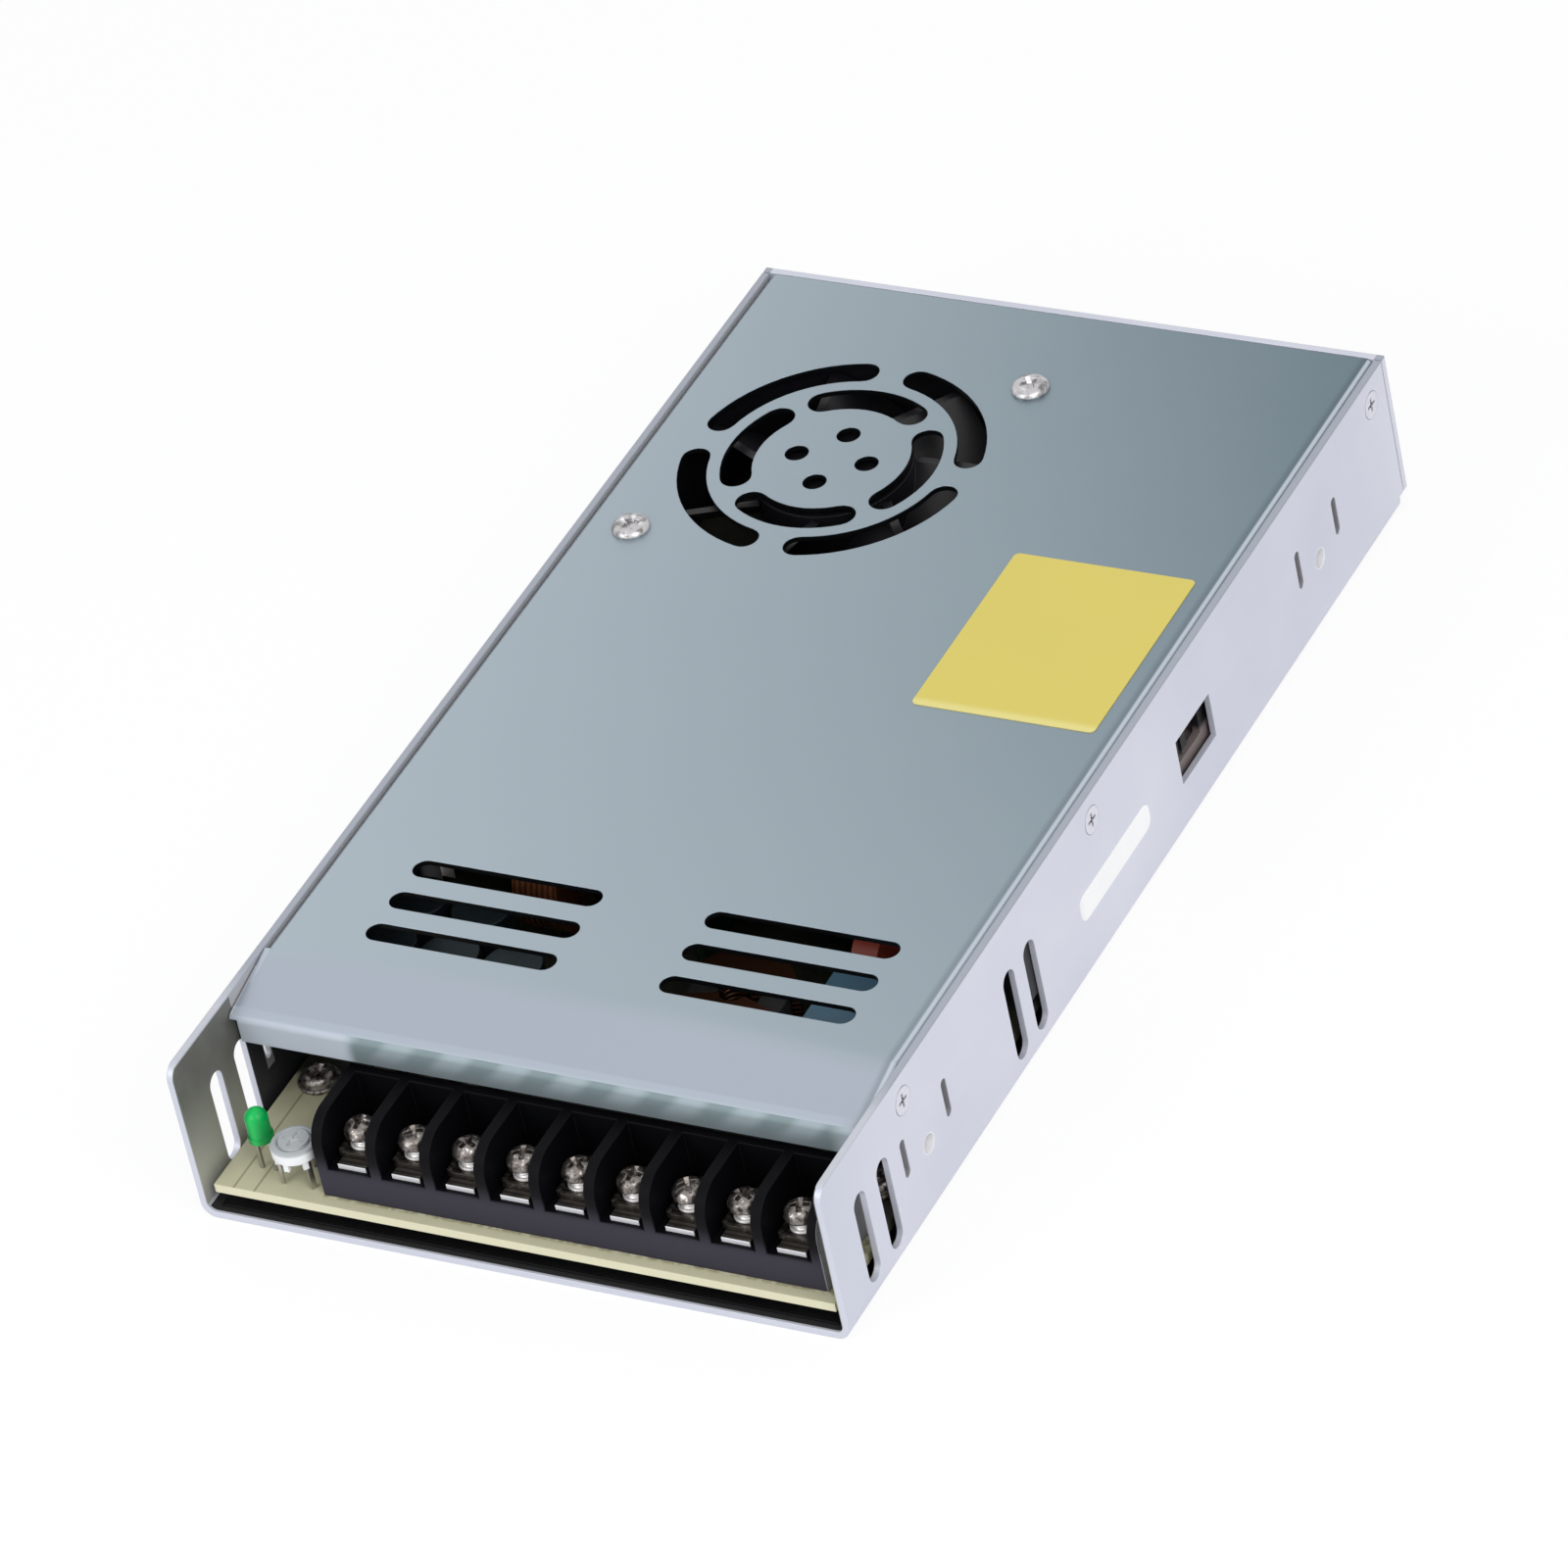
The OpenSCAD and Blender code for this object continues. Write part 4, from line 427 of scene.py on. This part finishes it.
def blockFinish(v):
    f = Finish("blackBlock")
    x, y, z = f.axes()
    patch = f.noise(v["patchScale"], 3)
    fine = f.noise(v["grainScale"], 3)
    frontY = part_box("terminal_block")[0].y
    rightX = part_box("terminal_block")[1].x
    # painted light on the lower front face and on the right end
    face = y.below(frontY + v["faceDepth"]) * z.fade(*v["faceFade"])
    end = x.above(rightX - v["endDepth"]) * z.below(v["endTop"])
    tint = f.mix(patch, shade(v["colour"], 0.8), shade(v["colour"], 1.25))
    tint = f.mix(face, tint, v["faceLightColour"])
    tint = f.mix(end, tint, v["endLightColour"])
    tint = f.mix(f.edgeMask(v["rimR"]) * z.above(v["rimBottom"]), tint, v["rimColour"])
    return f.done(Base_Color=tint, Roughness=0.5 + patch * 0.14, Specular_IOR_Level=0.08,
                  Normal=f.bump(fine, v["grainDepth"], f.softEdges(v["softR"]), 0.5))


dress(blockFinish(blockValues), "terminal_block")

# Nickelled steel with dull spots and painted glints, as on small stamped and turned parts
terminalSteel = {"dull": (0.04, 0.034, 0.030), "middle": (0.24, 0.215, 0.20), "bright": (0.98, 0.96, 0.95),
                 "scale": 900.0, "rough": 0.25, "neckReflection": 0.0024}  # the painted reflection on the shank starts this far down
screwSteel = {"dull": (0.05, 0.045, 0.04), "middle": (0.38, 0.35, 0.33), "bright": (0.95, 0.93, 0.91),
              "scale": 900.0, "rough": 0.25}
clampSteel = {"dull": (0.03, 0.026, 0.022), "middle": (0.15, 0.135, 0.12), "bright": (0.60, 0.56, 0.53),
              "scale": 700.0, "rough": 0.3, "grooves": 0.0011}
fanScrewSteel = {"dull": (0.22, 0.21, 0.21), "middle": (0.55, 0.54, 0.55), "bright": (0.88, 0.88, 0.90),
                 "scale": 600.0, "rough": 0.28}


def speckledFinish(name, v, neckReflectionTop=None):
    f = Finish(name)
    y, z = f.axes()[1:]
    spots = f.noise(v["scale"], 4, 0.62)
    # dull spots and bright painted glints
    tint = f.ramp(spots, [(0.36, v["dull"]), (0.50, v["middle"]), (0.60, v["middle"]), (0.70, v["bright"])])
    metal = 0.92
    if "grooves" in v:  # fine ones across a clamp plate
        tint = f.mix(y.wave(v["grooves"]).fade(0.3, 0.7) * 0.7, tint, v["dull"])
    if neckReflectionTop:  # painted reflection on the shank under a raised head
        tint = f.mix(z.below(neckReflectionTop) * 0.85, tint, v["bright"])
        metal = metal - z.below(neckReflectionTop) * 0.5
    fine = f.noise(v["scale"] * 2, 3)
    return f.done(Base_Color=tint, Metallic=metal, Roughness=v["rough"] + spots * 0.15,
                  Normal=f.bump(fine * 0.6 + spots * 0.4, 0.00012, f.softEdges(0.0002), 0.7))


terminalMetal = speckledFinish("nickelledTerminal", terminalSteel,
                               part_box("terminal_screws")[1].z - terminalSteel["neckReflection"])
screwMetal = speckledFinish("nickelledScrew", screwSteel)
dress(speckledFinish("nickelledClamp", clampSteel), "terminal_clamps")

tabValues = {"dull": (0.07, 0.062, 0.055), "bright": (0.26, 0.24, 0.22), "grooveColour": (0.03, 0.026, 0.022),
             "frontHighlightColour": (0.86, 0.86, 0.89), "grooves": 0.0010}


def tabFinish(v):
    f = Finish("tinnedTab")
    y = f.axes()[1]
    spots = f.noise(500.0, 3)
    # painted highlight along the front edges of the tabs
    frontHighlight = y.below(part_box("terminal_tabs")[0].y + 0.0001)
    grooves = y.wave(v["grooves"]).fade(0.3, 0.7)
    tint = f.mix(spots, v["dull"], v["bright"])
    tint = f.mix(grooves * 0.6, tint, v["grooveColour"])
    tint = f.mix(frontHighlight, tint, v["frontHighlightColour"])
    return f.done(Base_Color=tint, Metallic=0.9 - frontHighlight * 0.6, Roughness=0.3 + spots * 0.1,
                  Normal=f.softEdges(0.00015))


dress(tabFinish(tabValues), "terminal_tabs")


def keepPiece(bm, name, material, slot, *nodes):
    bmesh.ops.remove_doubles(bm, verts=bm.verts, dist=1e-7)
    bmesh.ops.recalc_face_normals(bm, faces=bm.faces)
    for face in bm.faces:
        face.smooth = True
    mesh = bpy.data.meshes.new(name)
    bm.to_mesh(mesh)
    bm.free()
    mesh.set_sharp_from_angle(angle=math.radians(32))
    mesh.materials.append(material)
    piece = bpy.data.objects.new(name, mesh)
    scene.collection.objects.link(piece)
    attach(piece, "case")
    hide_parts(*nodes)


def spinOutline(bm, outline, steps):  # outline of radius and height, from one pole to the other
    verts = [bm.verts.new((r, 0, z)) for r, z in outline]
    edges = [bm.edges.new(pair) for pair in zip(verts, verts[1:])]
    bmesh.ops.spin(bm, geom=verts + edges, axis=(0, 0, 1), cent=(0, 0, 0), angle=2 * math.pi, steps=steps,
                   use_merge=True)
    bmesh.ops.remove_doubles(bm, verts=bm.verts, dist=1e-7)


def cutAway(mesh, cutter):  # mesh less cutter, both closed
    whole = bpy.data.objects.new("whole", mesh)
    tool = bpy.data.objects.new("tool", cutter)
    for thing in (whole, tool):
        scene.collection.objects.link(thing)
    cut = whole.modifiers.new("cut", "BOOLEAN")
    cut.operation = "DIFFERENCE"
    cut.solver = "EXACT"
    cut.object = tool
    result = bpy.data.meshes.new_from_object(whole.evaluated_get(bpy.context.evaluated_depsgraph_get()))
    for thing in (whole, tool):
        bpy.data.objects.remove(thing)
    return result


# Half the outline of a domed screw head, in shares of its radius and height
headOutline = ((0, 1), (0.35, 0.985), (0.62, 0.90), (0.84, 0.72), (0.96, 0.45), (1, 0.2), (0.97, 0))


# One machine screw standing on Z = 0 under its head: domed head, cross recess, ring washer and thread
def screwMesh(v):
    bm = bmesh.new()
    r, h = v["headD"] / 2, v["headH"]
    outline = [(r * out, h * up) for out, up in headOutline] + [(v["threadD"] / 2, 0)]
    low = -v["threadL"]
    turns = max(2, round(v["threadL"] / v["threadPitch"]))
    for i in range(turns):  # the core and the crest of each turn
        top = low * i / turns
        outline += [(v["threadD"] * 0.44, top + low * 0.3 / turns),
                    (v["threadD"] / 2, top + low * 0.8 / turns)]
    outline += [(v["threadD"] * 0.42, low), (0, low)]
    spinOutline(bm, outline, v["steps"])
    mesh = bpy.data.meshes.new("screw")
    bm.to_mesh(mesh)
    bm.free()
    for turn in (0, 90):
        bm = bmesh.new()
        bmesh.ops.create_cube(bm, size=1)
        for vert in bm.verts:
            taper = 1.0 if vert.co.z > 0 else 0.45  # the recess narrows downwards
            vert.co = (vert.co.x * v["crossL"] * taper, vert.co.y * v["crossW"] * (0.5 + taper / 2),
                       h * 1.02 if vert.co.z > 0 else h - v["crossDepth"])
        bmesh.ops.rotate(bm, verts=bm.verts, cent=(0, 0, 0),
                         matrix=Matrix.Rotation(math.radians(turn), 3, "Z"))
        cutter = bpy.data.meshes.new("cutter")
        bm.to_mesh(cutter)
        bm.free()
        mesh = cutAway(mesh, cutter)
    if v["washerD"]:
        bm = bmesh.new()
        bm.from_mesh(mesh)
        ring = bmesh.new()
        w, t = v["washerD"] / 2, v["washerT"]
        inner = v["threadD"] / 2 + 0.00005
        under, over = v["washerZ"], v["washerZ"] + t
        spinOutline(ring, [(inner, under), (w - t * 0.2, under), (w, under + t * 0.2), (w, under + t * 0.8),
                           (w - t * 0.2, over), (inner, over), (inner, under)], v["steps"])
        washer = bpy.data.meshes.new("washer")
        ring.to_mesh(washer)
        ring.free()
        bm.from_mesh(washer)
        bm.to_mesh(mesh)
        bm.free()
    return mesh


crossTurns = (0, 35, 70, 20, 55)  # how far one screw after the other is turned, in degrees


def placeScrews(name, v, places, material, node):
    one = screwMesh(v)
    bm = bmesh.new()
    for i, place in enumerate(places):
        copy = one.copy()
        turn = Matrix.Rotation(math.radians(crossTurns[i % len(crossTurns)]), 4, "Z")
        copy.transform(Matrix.Translation(Vector(place)) @ turn)
        bm.from_mesh(copy)
    keepPiece(bm, name, material, "screw_steel", node)


terminalScrewValues = {
    "headD": 0.0056, "headH": 0.0022, "threadD": 0.0035, "threadL": 0.0074, "threadPitch": 0.0006,
    "crossL": 0.0038, "crossW": 0.0009, "crossDepth": 0.0013,
    "washerD": 0.0044, "washerT": 0.0005, "washerZ": -0.0022, "steps": 36}
poleCount = 9
low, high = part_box("terminal_screws")
screwR = terminalScrewValues["headD"] / 2
poleGap = (high.x - low.x - 2 * screwR) / (poleCount - 1)
placeScrews("terminalScrews", terminalScrewValues,
            [(low.x + screwR + i * poleGap, (low.y + high.y) / 2, high.z - terminalScrewValues["headH"])
             for i in range(poleCount)], terminalMetal, "terminal_screws")

boardScrewValues = {
    "headD": 0.0058, "headH": 0.0018, "threadD": 0.0030, "threadL": 0.0047, "threadPitch": 0.0006,
    "crossL": 0.0034, "crossW": 0.0009, "crossDepth": 0.0011,
    "washerD": 0.0072, "washerT": 0.0008, "washerZ": -0.0008, "steps": 36}
low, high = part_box("board_screws")
washerR = boardScrewValues["washerD"] / 2
placeScrews("boardScrews", boardScrewValues,
            [(x, y, high.z - boardScrewValues["headH"]) for x in (low.x + washerR, high.x - washerR)
             for y in (low.y + washerR, high.y - washerR)], screwMetal, "board_screws")

fanScrewValues = {
    "headD": 0.0066, "headH": 0.0015, "threadD": 0.0038, "threadL": 0.009, "threadPitch": 0.001,
    "crossL": 0.0038, "crossW": 0.0011, "crossDepth": 0.0010, "washerD": 0, "steps": 44}
low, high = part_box("fan_screws")
fanHeadR = fanScrewValues["headD"] / 2
placeScrews("fanScrews", fanScrewValues,
            [(x, y, high.z - fanScrewValues["headH"]) for x, y in
             ((low.x + fanHeadR, low.y + fanHeadR), (high.x - fanHeadR, high.y - fanHeadR))],
            speckledFinish("fanScrewSteel", fanScrewSteel), "fan_screws")

sinkScrewValues = {"dull": (0.60, 0.61, 0.69), "bright": (0.74, 0.74, 0.80),
                   "recessShadeColour": (0.16, 0.155, 0.16), "deepFace": 0.0572}


def sinkScrewFinish(v):  # flush screws, as pale as the wall round them
    f = Finish("flushScrew")
    x = f.axes()[0]
    spots = f.noise(900.0, 3)
    # painted shade in the recess
    deep = abs(x).below(v["deepFace"])
    tint = f.mix(spots, v["dull"], v["bright"])
    tint = f.mix(deep, tint, v["recessShadeColour"])
    return f.done(Base_Color=tint, Metallic=0.4, Roughness=0.38 + spots * 0.1, Normal=f.softEdges(0.0002))


dress(sinkScrewFinish(sinkScrewValues), "cover_screws")
dress(metalFinish("groundShaft", (0.7, 0.7, 0.7), 0.15), "fan_shaft")
print("screws made")

# Trimmer body: a round cap with softened rims, standing on short feet
trimmerValues = {
    "feet": 7, "footW": 0.0009, "footL": 0.0006, "footH": 0.0013, "footIn": 0.0005, "boreR": 0.00075,
    "lowRim": 0.0003, "rim": 0.0006, "soft": 0.0002, "wellShare": 0.72, "wellDepth": 0.0008, "steps": 48,
    "white": (0.84, 0.85, 0.86), "top": (0.42, 0.44, 0.455), "topFade": (0.0007, 0.0003),
    "crossLightColour": (0.62, 0.64, 0.65), "crossDepth": 0.0001}


def trimmerFinish(v):
    f = Finish("trimmerPlastic")
    z = f.axes()[2]
    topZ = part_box("trimmer_body")[1].z
    patch = f.noise(300.0, 3)
    tint = f.mix(z.fade(topZ - v["topFade"][0], topZ - v["topFade"][1]), v["white"], v["top"])
    tint = f.mix(patch * 0.25, tint, shade(v["top"], 0.8))
    return f.done(Base_Color=tint, Roughness=0.36 + patch * 0.12, Normal=f.bump(patch, 0.00003))


def makeTrimmer(v):
    low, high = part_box("trimmer_body")
    r, t, bore, soft = (high.x - low.x) / 2, high.z - low.z, v["boreR"], v["soft"]
    well = r * v["wellShare"]
    bm = bmesh.new()
    spinOutline(bm, [(bore, 0), (r - v["lowRim"], 0), (r, v["lowRim"]), (r, t - v["rim"]),
                     (r - soft, t - soft), (r - v["rim"], t), (well + soft, t), (well, t - soft),
                     (well, t - v["wellDepth"]), (bore, t - v["wellDepth"]), (bore, 0)], v["steps"])
    for i in range(v["feet"]):
        made = bmesh.ops.create_cube(bm, size=1)["verts"]
        bmesh.ops.scale(bm, verts=made, vec=(v["footW"], v["footL"], v["footH"]))
        bmesh.ops.translate(bm, verts=made, vec=(0, r - v["footIn"], -v["footH"] / 2 + 0.0001))
        bmesh.ops.rotate(bm, verts=made, cent=(0, 0, 0),
                         matrix=Matrix.Rotation(2 * math.pi * (i + 0.5) / v["feet"], 3, "Z"))
    bmesh.ops.translate(bm, verts=bm.verts, vec=((low.x + high.x) / 2, (low.y + high.y) / 2, low.z))
    keepPiece(bm, "trimmerCap", trimmerFinish(v), "trimmer_plastic", "trimmer_body")


def rotorFinish(v):  # the screwdriver cross painted pale, painted light against its shade
    f = Finish("trimmerRotor")
    deep = f.axes()[2].below(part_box("trimmer_rotor")[1].z - v["crossDepth"])
    tint = f.mix(deep * f.noise(400.0).fade(0.2, 0.5), v["top"], v["crossLightColour"])
    return f.done(Base_Color=tint, Roughness=0.4)


makeTrimmer(trimmerValues)
dress(rotorFinish(trimmerValues), "trimmer_rotor")

# The indicator light, brighter along its middle, and the voltage selector
lensValues = {"low": (0.0, 0.16, 0.03), "high": (0.0, 0.30, 0.06), "middle": (0.01, 0.50, 0.10),
              "middleFade": (0.0014, 0.0002)}


def lensFinish(v):
    f = Finish("greenLens")
    x, y, z = f.axes()
    low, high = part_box("led_lens")
    middle = abs(x - (low.x + high.x) / 2).fade(*v["middleFade"])
    tint = f.mix(z.fade(low.z, high.z), v["low"], v["high"])
    tint = f.mix(middle * 0.5, tint, v["middle"])
    return f.done(Base_Color=tint, Roughness=0.3, Emission_Color=tint, Emission_Strength=0.2,
                  Specular_IOR_Level=0.3, Normal=f.softEdges(0.0002))


dress(lensFinish(lensValues), "led_lens")

selectorValues = {"body": (0.20, 0.165, 0.16), "slider": (0.12, 0.098, 0.096),
                  "shaded": (0.007, 0.006, 0.008), "shadeFrom": 0.0106, "shadeTo": 0.0122, "rough": 0.5}


def switchFinish(name, colour, v):  # dusty low down, black in the shade of the window's upper edge
    f = Finish(name)
    z = f.axes()[2]
    patch = f.noise(160.0, 3)
    tint = f.mix(patch, shade(colour, 0.85), shade(colour, 1.15))
    tint = f.mix(z.fade(v["shadeFrom"], v["shadeTo"]), tint, v["shaded"])
    return f.done(Base_Color=tint, Roughness=v["rough"] - 0.08 + patch * 0.16, Specular_IOR_Level=0.3,
                  Normal=f.bump(f.noise(1400.0, 2), 0.00002, f.softEdges(0.0002), 0.6))


dress(switchFinish("selectorBody", selectorValues["body"], selectorValues), "selector_body")
dress(switchFinish("selectorKnob", selectorValues["slider"], selectorValues), "selector_slider")

# The fan
dress(plasticFinish("fanPlastic", (0.006, 0.006, 0.008), 0.4, 0.35), "fan_frame", "fan_impeller")
dress(metalFinish("bronzeSleeve", (0.42, 0.28, 0.10), 0.35), "fan_bearing")
dress(plasticFinish("magnetFerrite", (0.02, 0.018, 0.018), 0.6), "fan_magnet")
dress(plasticFinish("leadRed", (0.35, 0.02, 0.015), 0.45), "fan_lead")
dress(plasticFinish("ivoryPlastic", (0.55, 0.52, 0.44), 0.4), "fan_plug", "fan_header", "optocouplers")

# Parts on the board: coils with their turns, cans with pale tops, lacquered and moulded pieces
coilValues = {"copper": (0.13, 0.055, 0.028), "copperPitch": 0.0009,
              "choke": (0.50, 0.17, 0.07), "chokePitch": 0.0010}
canValues = {"bulk": (0.012, 0.016, 0.026), "bulkTop": (0.16, 0.19, 0.21), "output": (0.006, 0.010, 0.013),
             "outputTop": (0.035, 0.050, 0.058), "topDepth": 0.0004}
filmValues = {"lit": (0.11, 0.22, 0.31), "shaded": (0.035, 0.085, 0.13), "fade": (-0.0690, -0.0720)}


def coilFinish(name, colour, pitch, axis):
    f = Finish(name)
    turns = f.axes()[axis].wave(pitch)
    tint = f.mix(turns, shade(colour, 0.35), colour)
    return f.done(Base_Color=tint, Metallic=0.7, Roughness=0.3, Normal=f.bump(turns, 0.0002))


def canFinish(name, colour, topShadeColour, topZ):
    f = Finish(name)
    top = f.axes()[2].above(topZ)
    patch = f.noise(200.0, 3)
    tint = f.mix(patch, shade(colour, 0.8), shade(colour, 1.2))
    tint = f.mix(top, tint, f.mix(patch, shade(topShadeColour, 0.6), shade(topShadeColour, 1.4)))
    return f.done(Base_Color=tint, Metallic=top * 0.6, Roughness=0.35 + patch * 0.1,
                  Normal=f.softEdges(0.0004))


def filmCapFinish(v):  # blue lacquer, darker to the front
    f = Finish("filmCapacitor")
    tint = f.mix(f.axes()[1].fade(*v["fade"]), v["lit"], v["shaded"])
    return f.done(Base_Color=tint, Roughness=f.noise(200.0) * 0.2 + 0.3)


dress(coilFinish("copperCoil", coilValues["copper"], coilValues["copperPitch"], 2), "fan_stator",
      "line_choke_windings")
dress(coilFinish("chokeCoil", coilValues["choke"], coilValues["chokePitch"], 0), "output_choke_winding")
dress(canFinish("bulkCan", canValues["bulk"], canValues["bulkTop"],
                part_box("bulk_capacitors")[1].z - canValues["topDepth"]), "bulk_capacitors")
dress(canFinish("outputCan", canValues["output"], canValues["outputTop"],
                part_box("output_capacitors")[1].z - canValues["topDepth"]), "output_capacitors")
dress(plasticFinish("varistorRed", (0.50, 0.07, 0.04), 0.4), "surge_varistor")
dress(plasticFinish("thermistorGreen", (0.035, 0.06, 0.03), 0.5), "inrush_thermistor")
dress(filmCapFinish(filmValues), "x_capacitor")
dress(plasticFinish("blueDisc", (0.05, 0.12, 0.22), 0.4), "y_capacitors")
dress(plasticFinish("relayBlue", (0.012, 0.014, 0.020), 0.35), "inrush_relay")
dress(plasticFinish("blackEpoxy", (0.010, 0.010, 0.012), 0.5), "bridge_rectifier", "primary_transistors",
      "output_rectifiers", "control_chip")
dress(plasticFinish("darkFerrite", (0.035, 0.035, 0.038), 0.55), "line_choke_core", "drive_transformer",
      "transformer_core")
dress(plasticFinish("bobbinBlack", (0.015, 0.015, 0.017), 0.45), "transformer_bobbin")
dress(plasticFinish("windingTape", (0.50, 0.32, 0.05), 0.3), "transformer_winding")
dress(plasticFinish("chokeCore", (0.20, 0.16, 0.05), 0.5), "output_choke_core")
dress(plasticFinish("controlGreen", (0.006, 0.03, 0.015), 0.4), "control_board")
dress(plasticFinish("resistorTan", (0.07, 0.06, 0.045), 0.45), "load_resistors")
dress(plasticFinish("fuseCeramic", (0.12, 0.115, 0.10), 0.35), "fuse")
print("finishes done")

# Floor, light and camera
stageValues = {"floorSide": 6.0, "floorColour": (0.95, 0.95, 0.95), "floorRough": 0.8, "whiteShare": 0.88,
               "skyStrength": 0.72, "skyColour": (0.97, 0.985, 1.0)}


def whiteRays(tree):  # 1 for rays from the camera, off gloss or through glass
    path = tree.nodes.new("ShaderNodeLightPath")
    seen = None
    for name in ("Is Camera Ray", "Is Glossy Ray", "Is Transmission Ray"):
        if seen is None:
            seen = path.outputs[name]
            continue
        both = tree.nodes.new("ShaderNodeMath")
        both.operation = "MAXIMUM"
        tree.links.new(seen, both.inputs[0])
        tree.links.new(path.outputs[name], both.inputs[1])
        seen = both.outputs[0]
    return seen


def makeFloor(v):
    mesh = bpy.data.meshes.new("floor")
    bm = bmesh.new()
    bmesh.ops.create_grid(bm, x_segments=1, y_segments=1, size=v["floorSide"] / 2)
    bm.to_mesh(mesh)
    bm.free()
    floor = bpy.data.objects.new("floor", mesh)
    scene.collection.objects.link(floor)
    material = bpy.data.materials.new("paleFloor")
    material.use_nodes = True
    tree = material.node_tree
    base = tree.nodes["Principled BSDF"]
    base.inputs["Base Color"].default_value = (*v["floorColour"], 1)
    base.inputs["Roughness"].default_value = v["floorRough"]
    glow = tree.nodes.new("ShaderNodeEmission")
    blend = tree.nodes.new("ShaderNodeMixShader")
    share = tree.nodes.new("ShaderNodeMath")
    share.operation = "MULTIPLY"
    share.inputs[1].default_value = v["whiteShare"]
    tree.links.new(whiteRays(tree), share.inputs[0])
    tree.links.new(share.outputs[0], blend.inputs[0])
    tree.links.new(base.outputs[0], blend.inputs[1])
    tree.links.new(glow.outputs[0], blend.inputs[2])
    tree.links.new(blend.outputs[0], tree.nodes["Material Output"].inputs["Surface"])
    mesh.materials.append(material)


def makeSky(v):
    world = bpy.data.worlds.new("paleSky")
    world.use_nodes = True
    scene.world = world
    tree = world.node_tree
    tree.nodes.clear()
    light = tree.nodes.new("ShaderNodeBackground")
    light.inputs[0].default_value = (*v["skyColour"], 1)
    light.inputs[1].default_value = v["skyStrength"]
    seen = tree.nodes.new("ShaderNodeBackground")
    seen.inputs[0].default_value = (1, 1, 1, 1)
    blend = tree.nodes.new("ShaderNodeMixShader")
    end = tree.nodes.new("ShaderNodeOutputWorld")
    tree.links.new(whiteRays(tree), blend.inputs[0])
    tree.links.new(light.outputs[0], blend.inputs[1])
    tree.links.new(seen.outputs[0], blend.inputs[2])
    tree.links.new(blend.outputs[0], end.inputs[0])


def makeLamp(name, place, aim, side, watts, colour):
    lamp = bpy.data.lights.new(name, "AREA")
    lamp.shape = "SQUARE"
    lamp.size = side
    lamp.energy = watts
    lamp.color = colour
    holder = bpy.data.objects.new(name, lamp)
    holder.location = place
    holder.rotation_euler = (Vector(aim) - Vector(place)).to_track_quat("-Z", "Y").to_euler()
    scene.collection.objects.link(holder)


makeFloor(stageValues)
makeSky(stageValues)
lampValues = [
    {"name": "keyLamp", "place": (0.75, -0.55, 0.85), "aim": (0, 0, 0), "side": 0.7, "watts": 5.5,
     "colour": (1.0, 0.99, 0.98)},
    {"name": "frontLamp", "place": (-0.5, -1.1, 0.7), "aim": (0, -0.05, 0.01), "side": 0.6, "watts": 4.5,
     "colour": (0.98, 0.99, 1.0)},
]
for lampSet in lampValues:
    makeLamp(**lampSet)

cameraValues = {"place": (0.73095, -1.0893, 1.01661), "right": (0.88323, 0.43498, -0.17521),
                "up": (-0.14869, 0.61411, 0.77509), "lens": 235.6, "reach": 50}


def makeCamera(v):
    data = bpy.data.cameras.new("camera")
    data.lens = v["lens"]
    data.clip_end = v["reach"]
    holder = bpy.data.objects.new("camera", data)
    right = Vector(v["right"]).normalized()
    back = right.cross(Vector(v["up"])).normalized()
    up = back.cross(right)
    turn = Matrix((right, up, back)).transposed().to_4x4()
    holder.matrix_world = Matrix.Translation(Vector(v["place"])) @ turn
    scene.collection.objects.link(holder)
    scene.camera = holder


makeCamera(cameraValues)
scene.view_settings.view_transform = "Standard"
print("stage done")
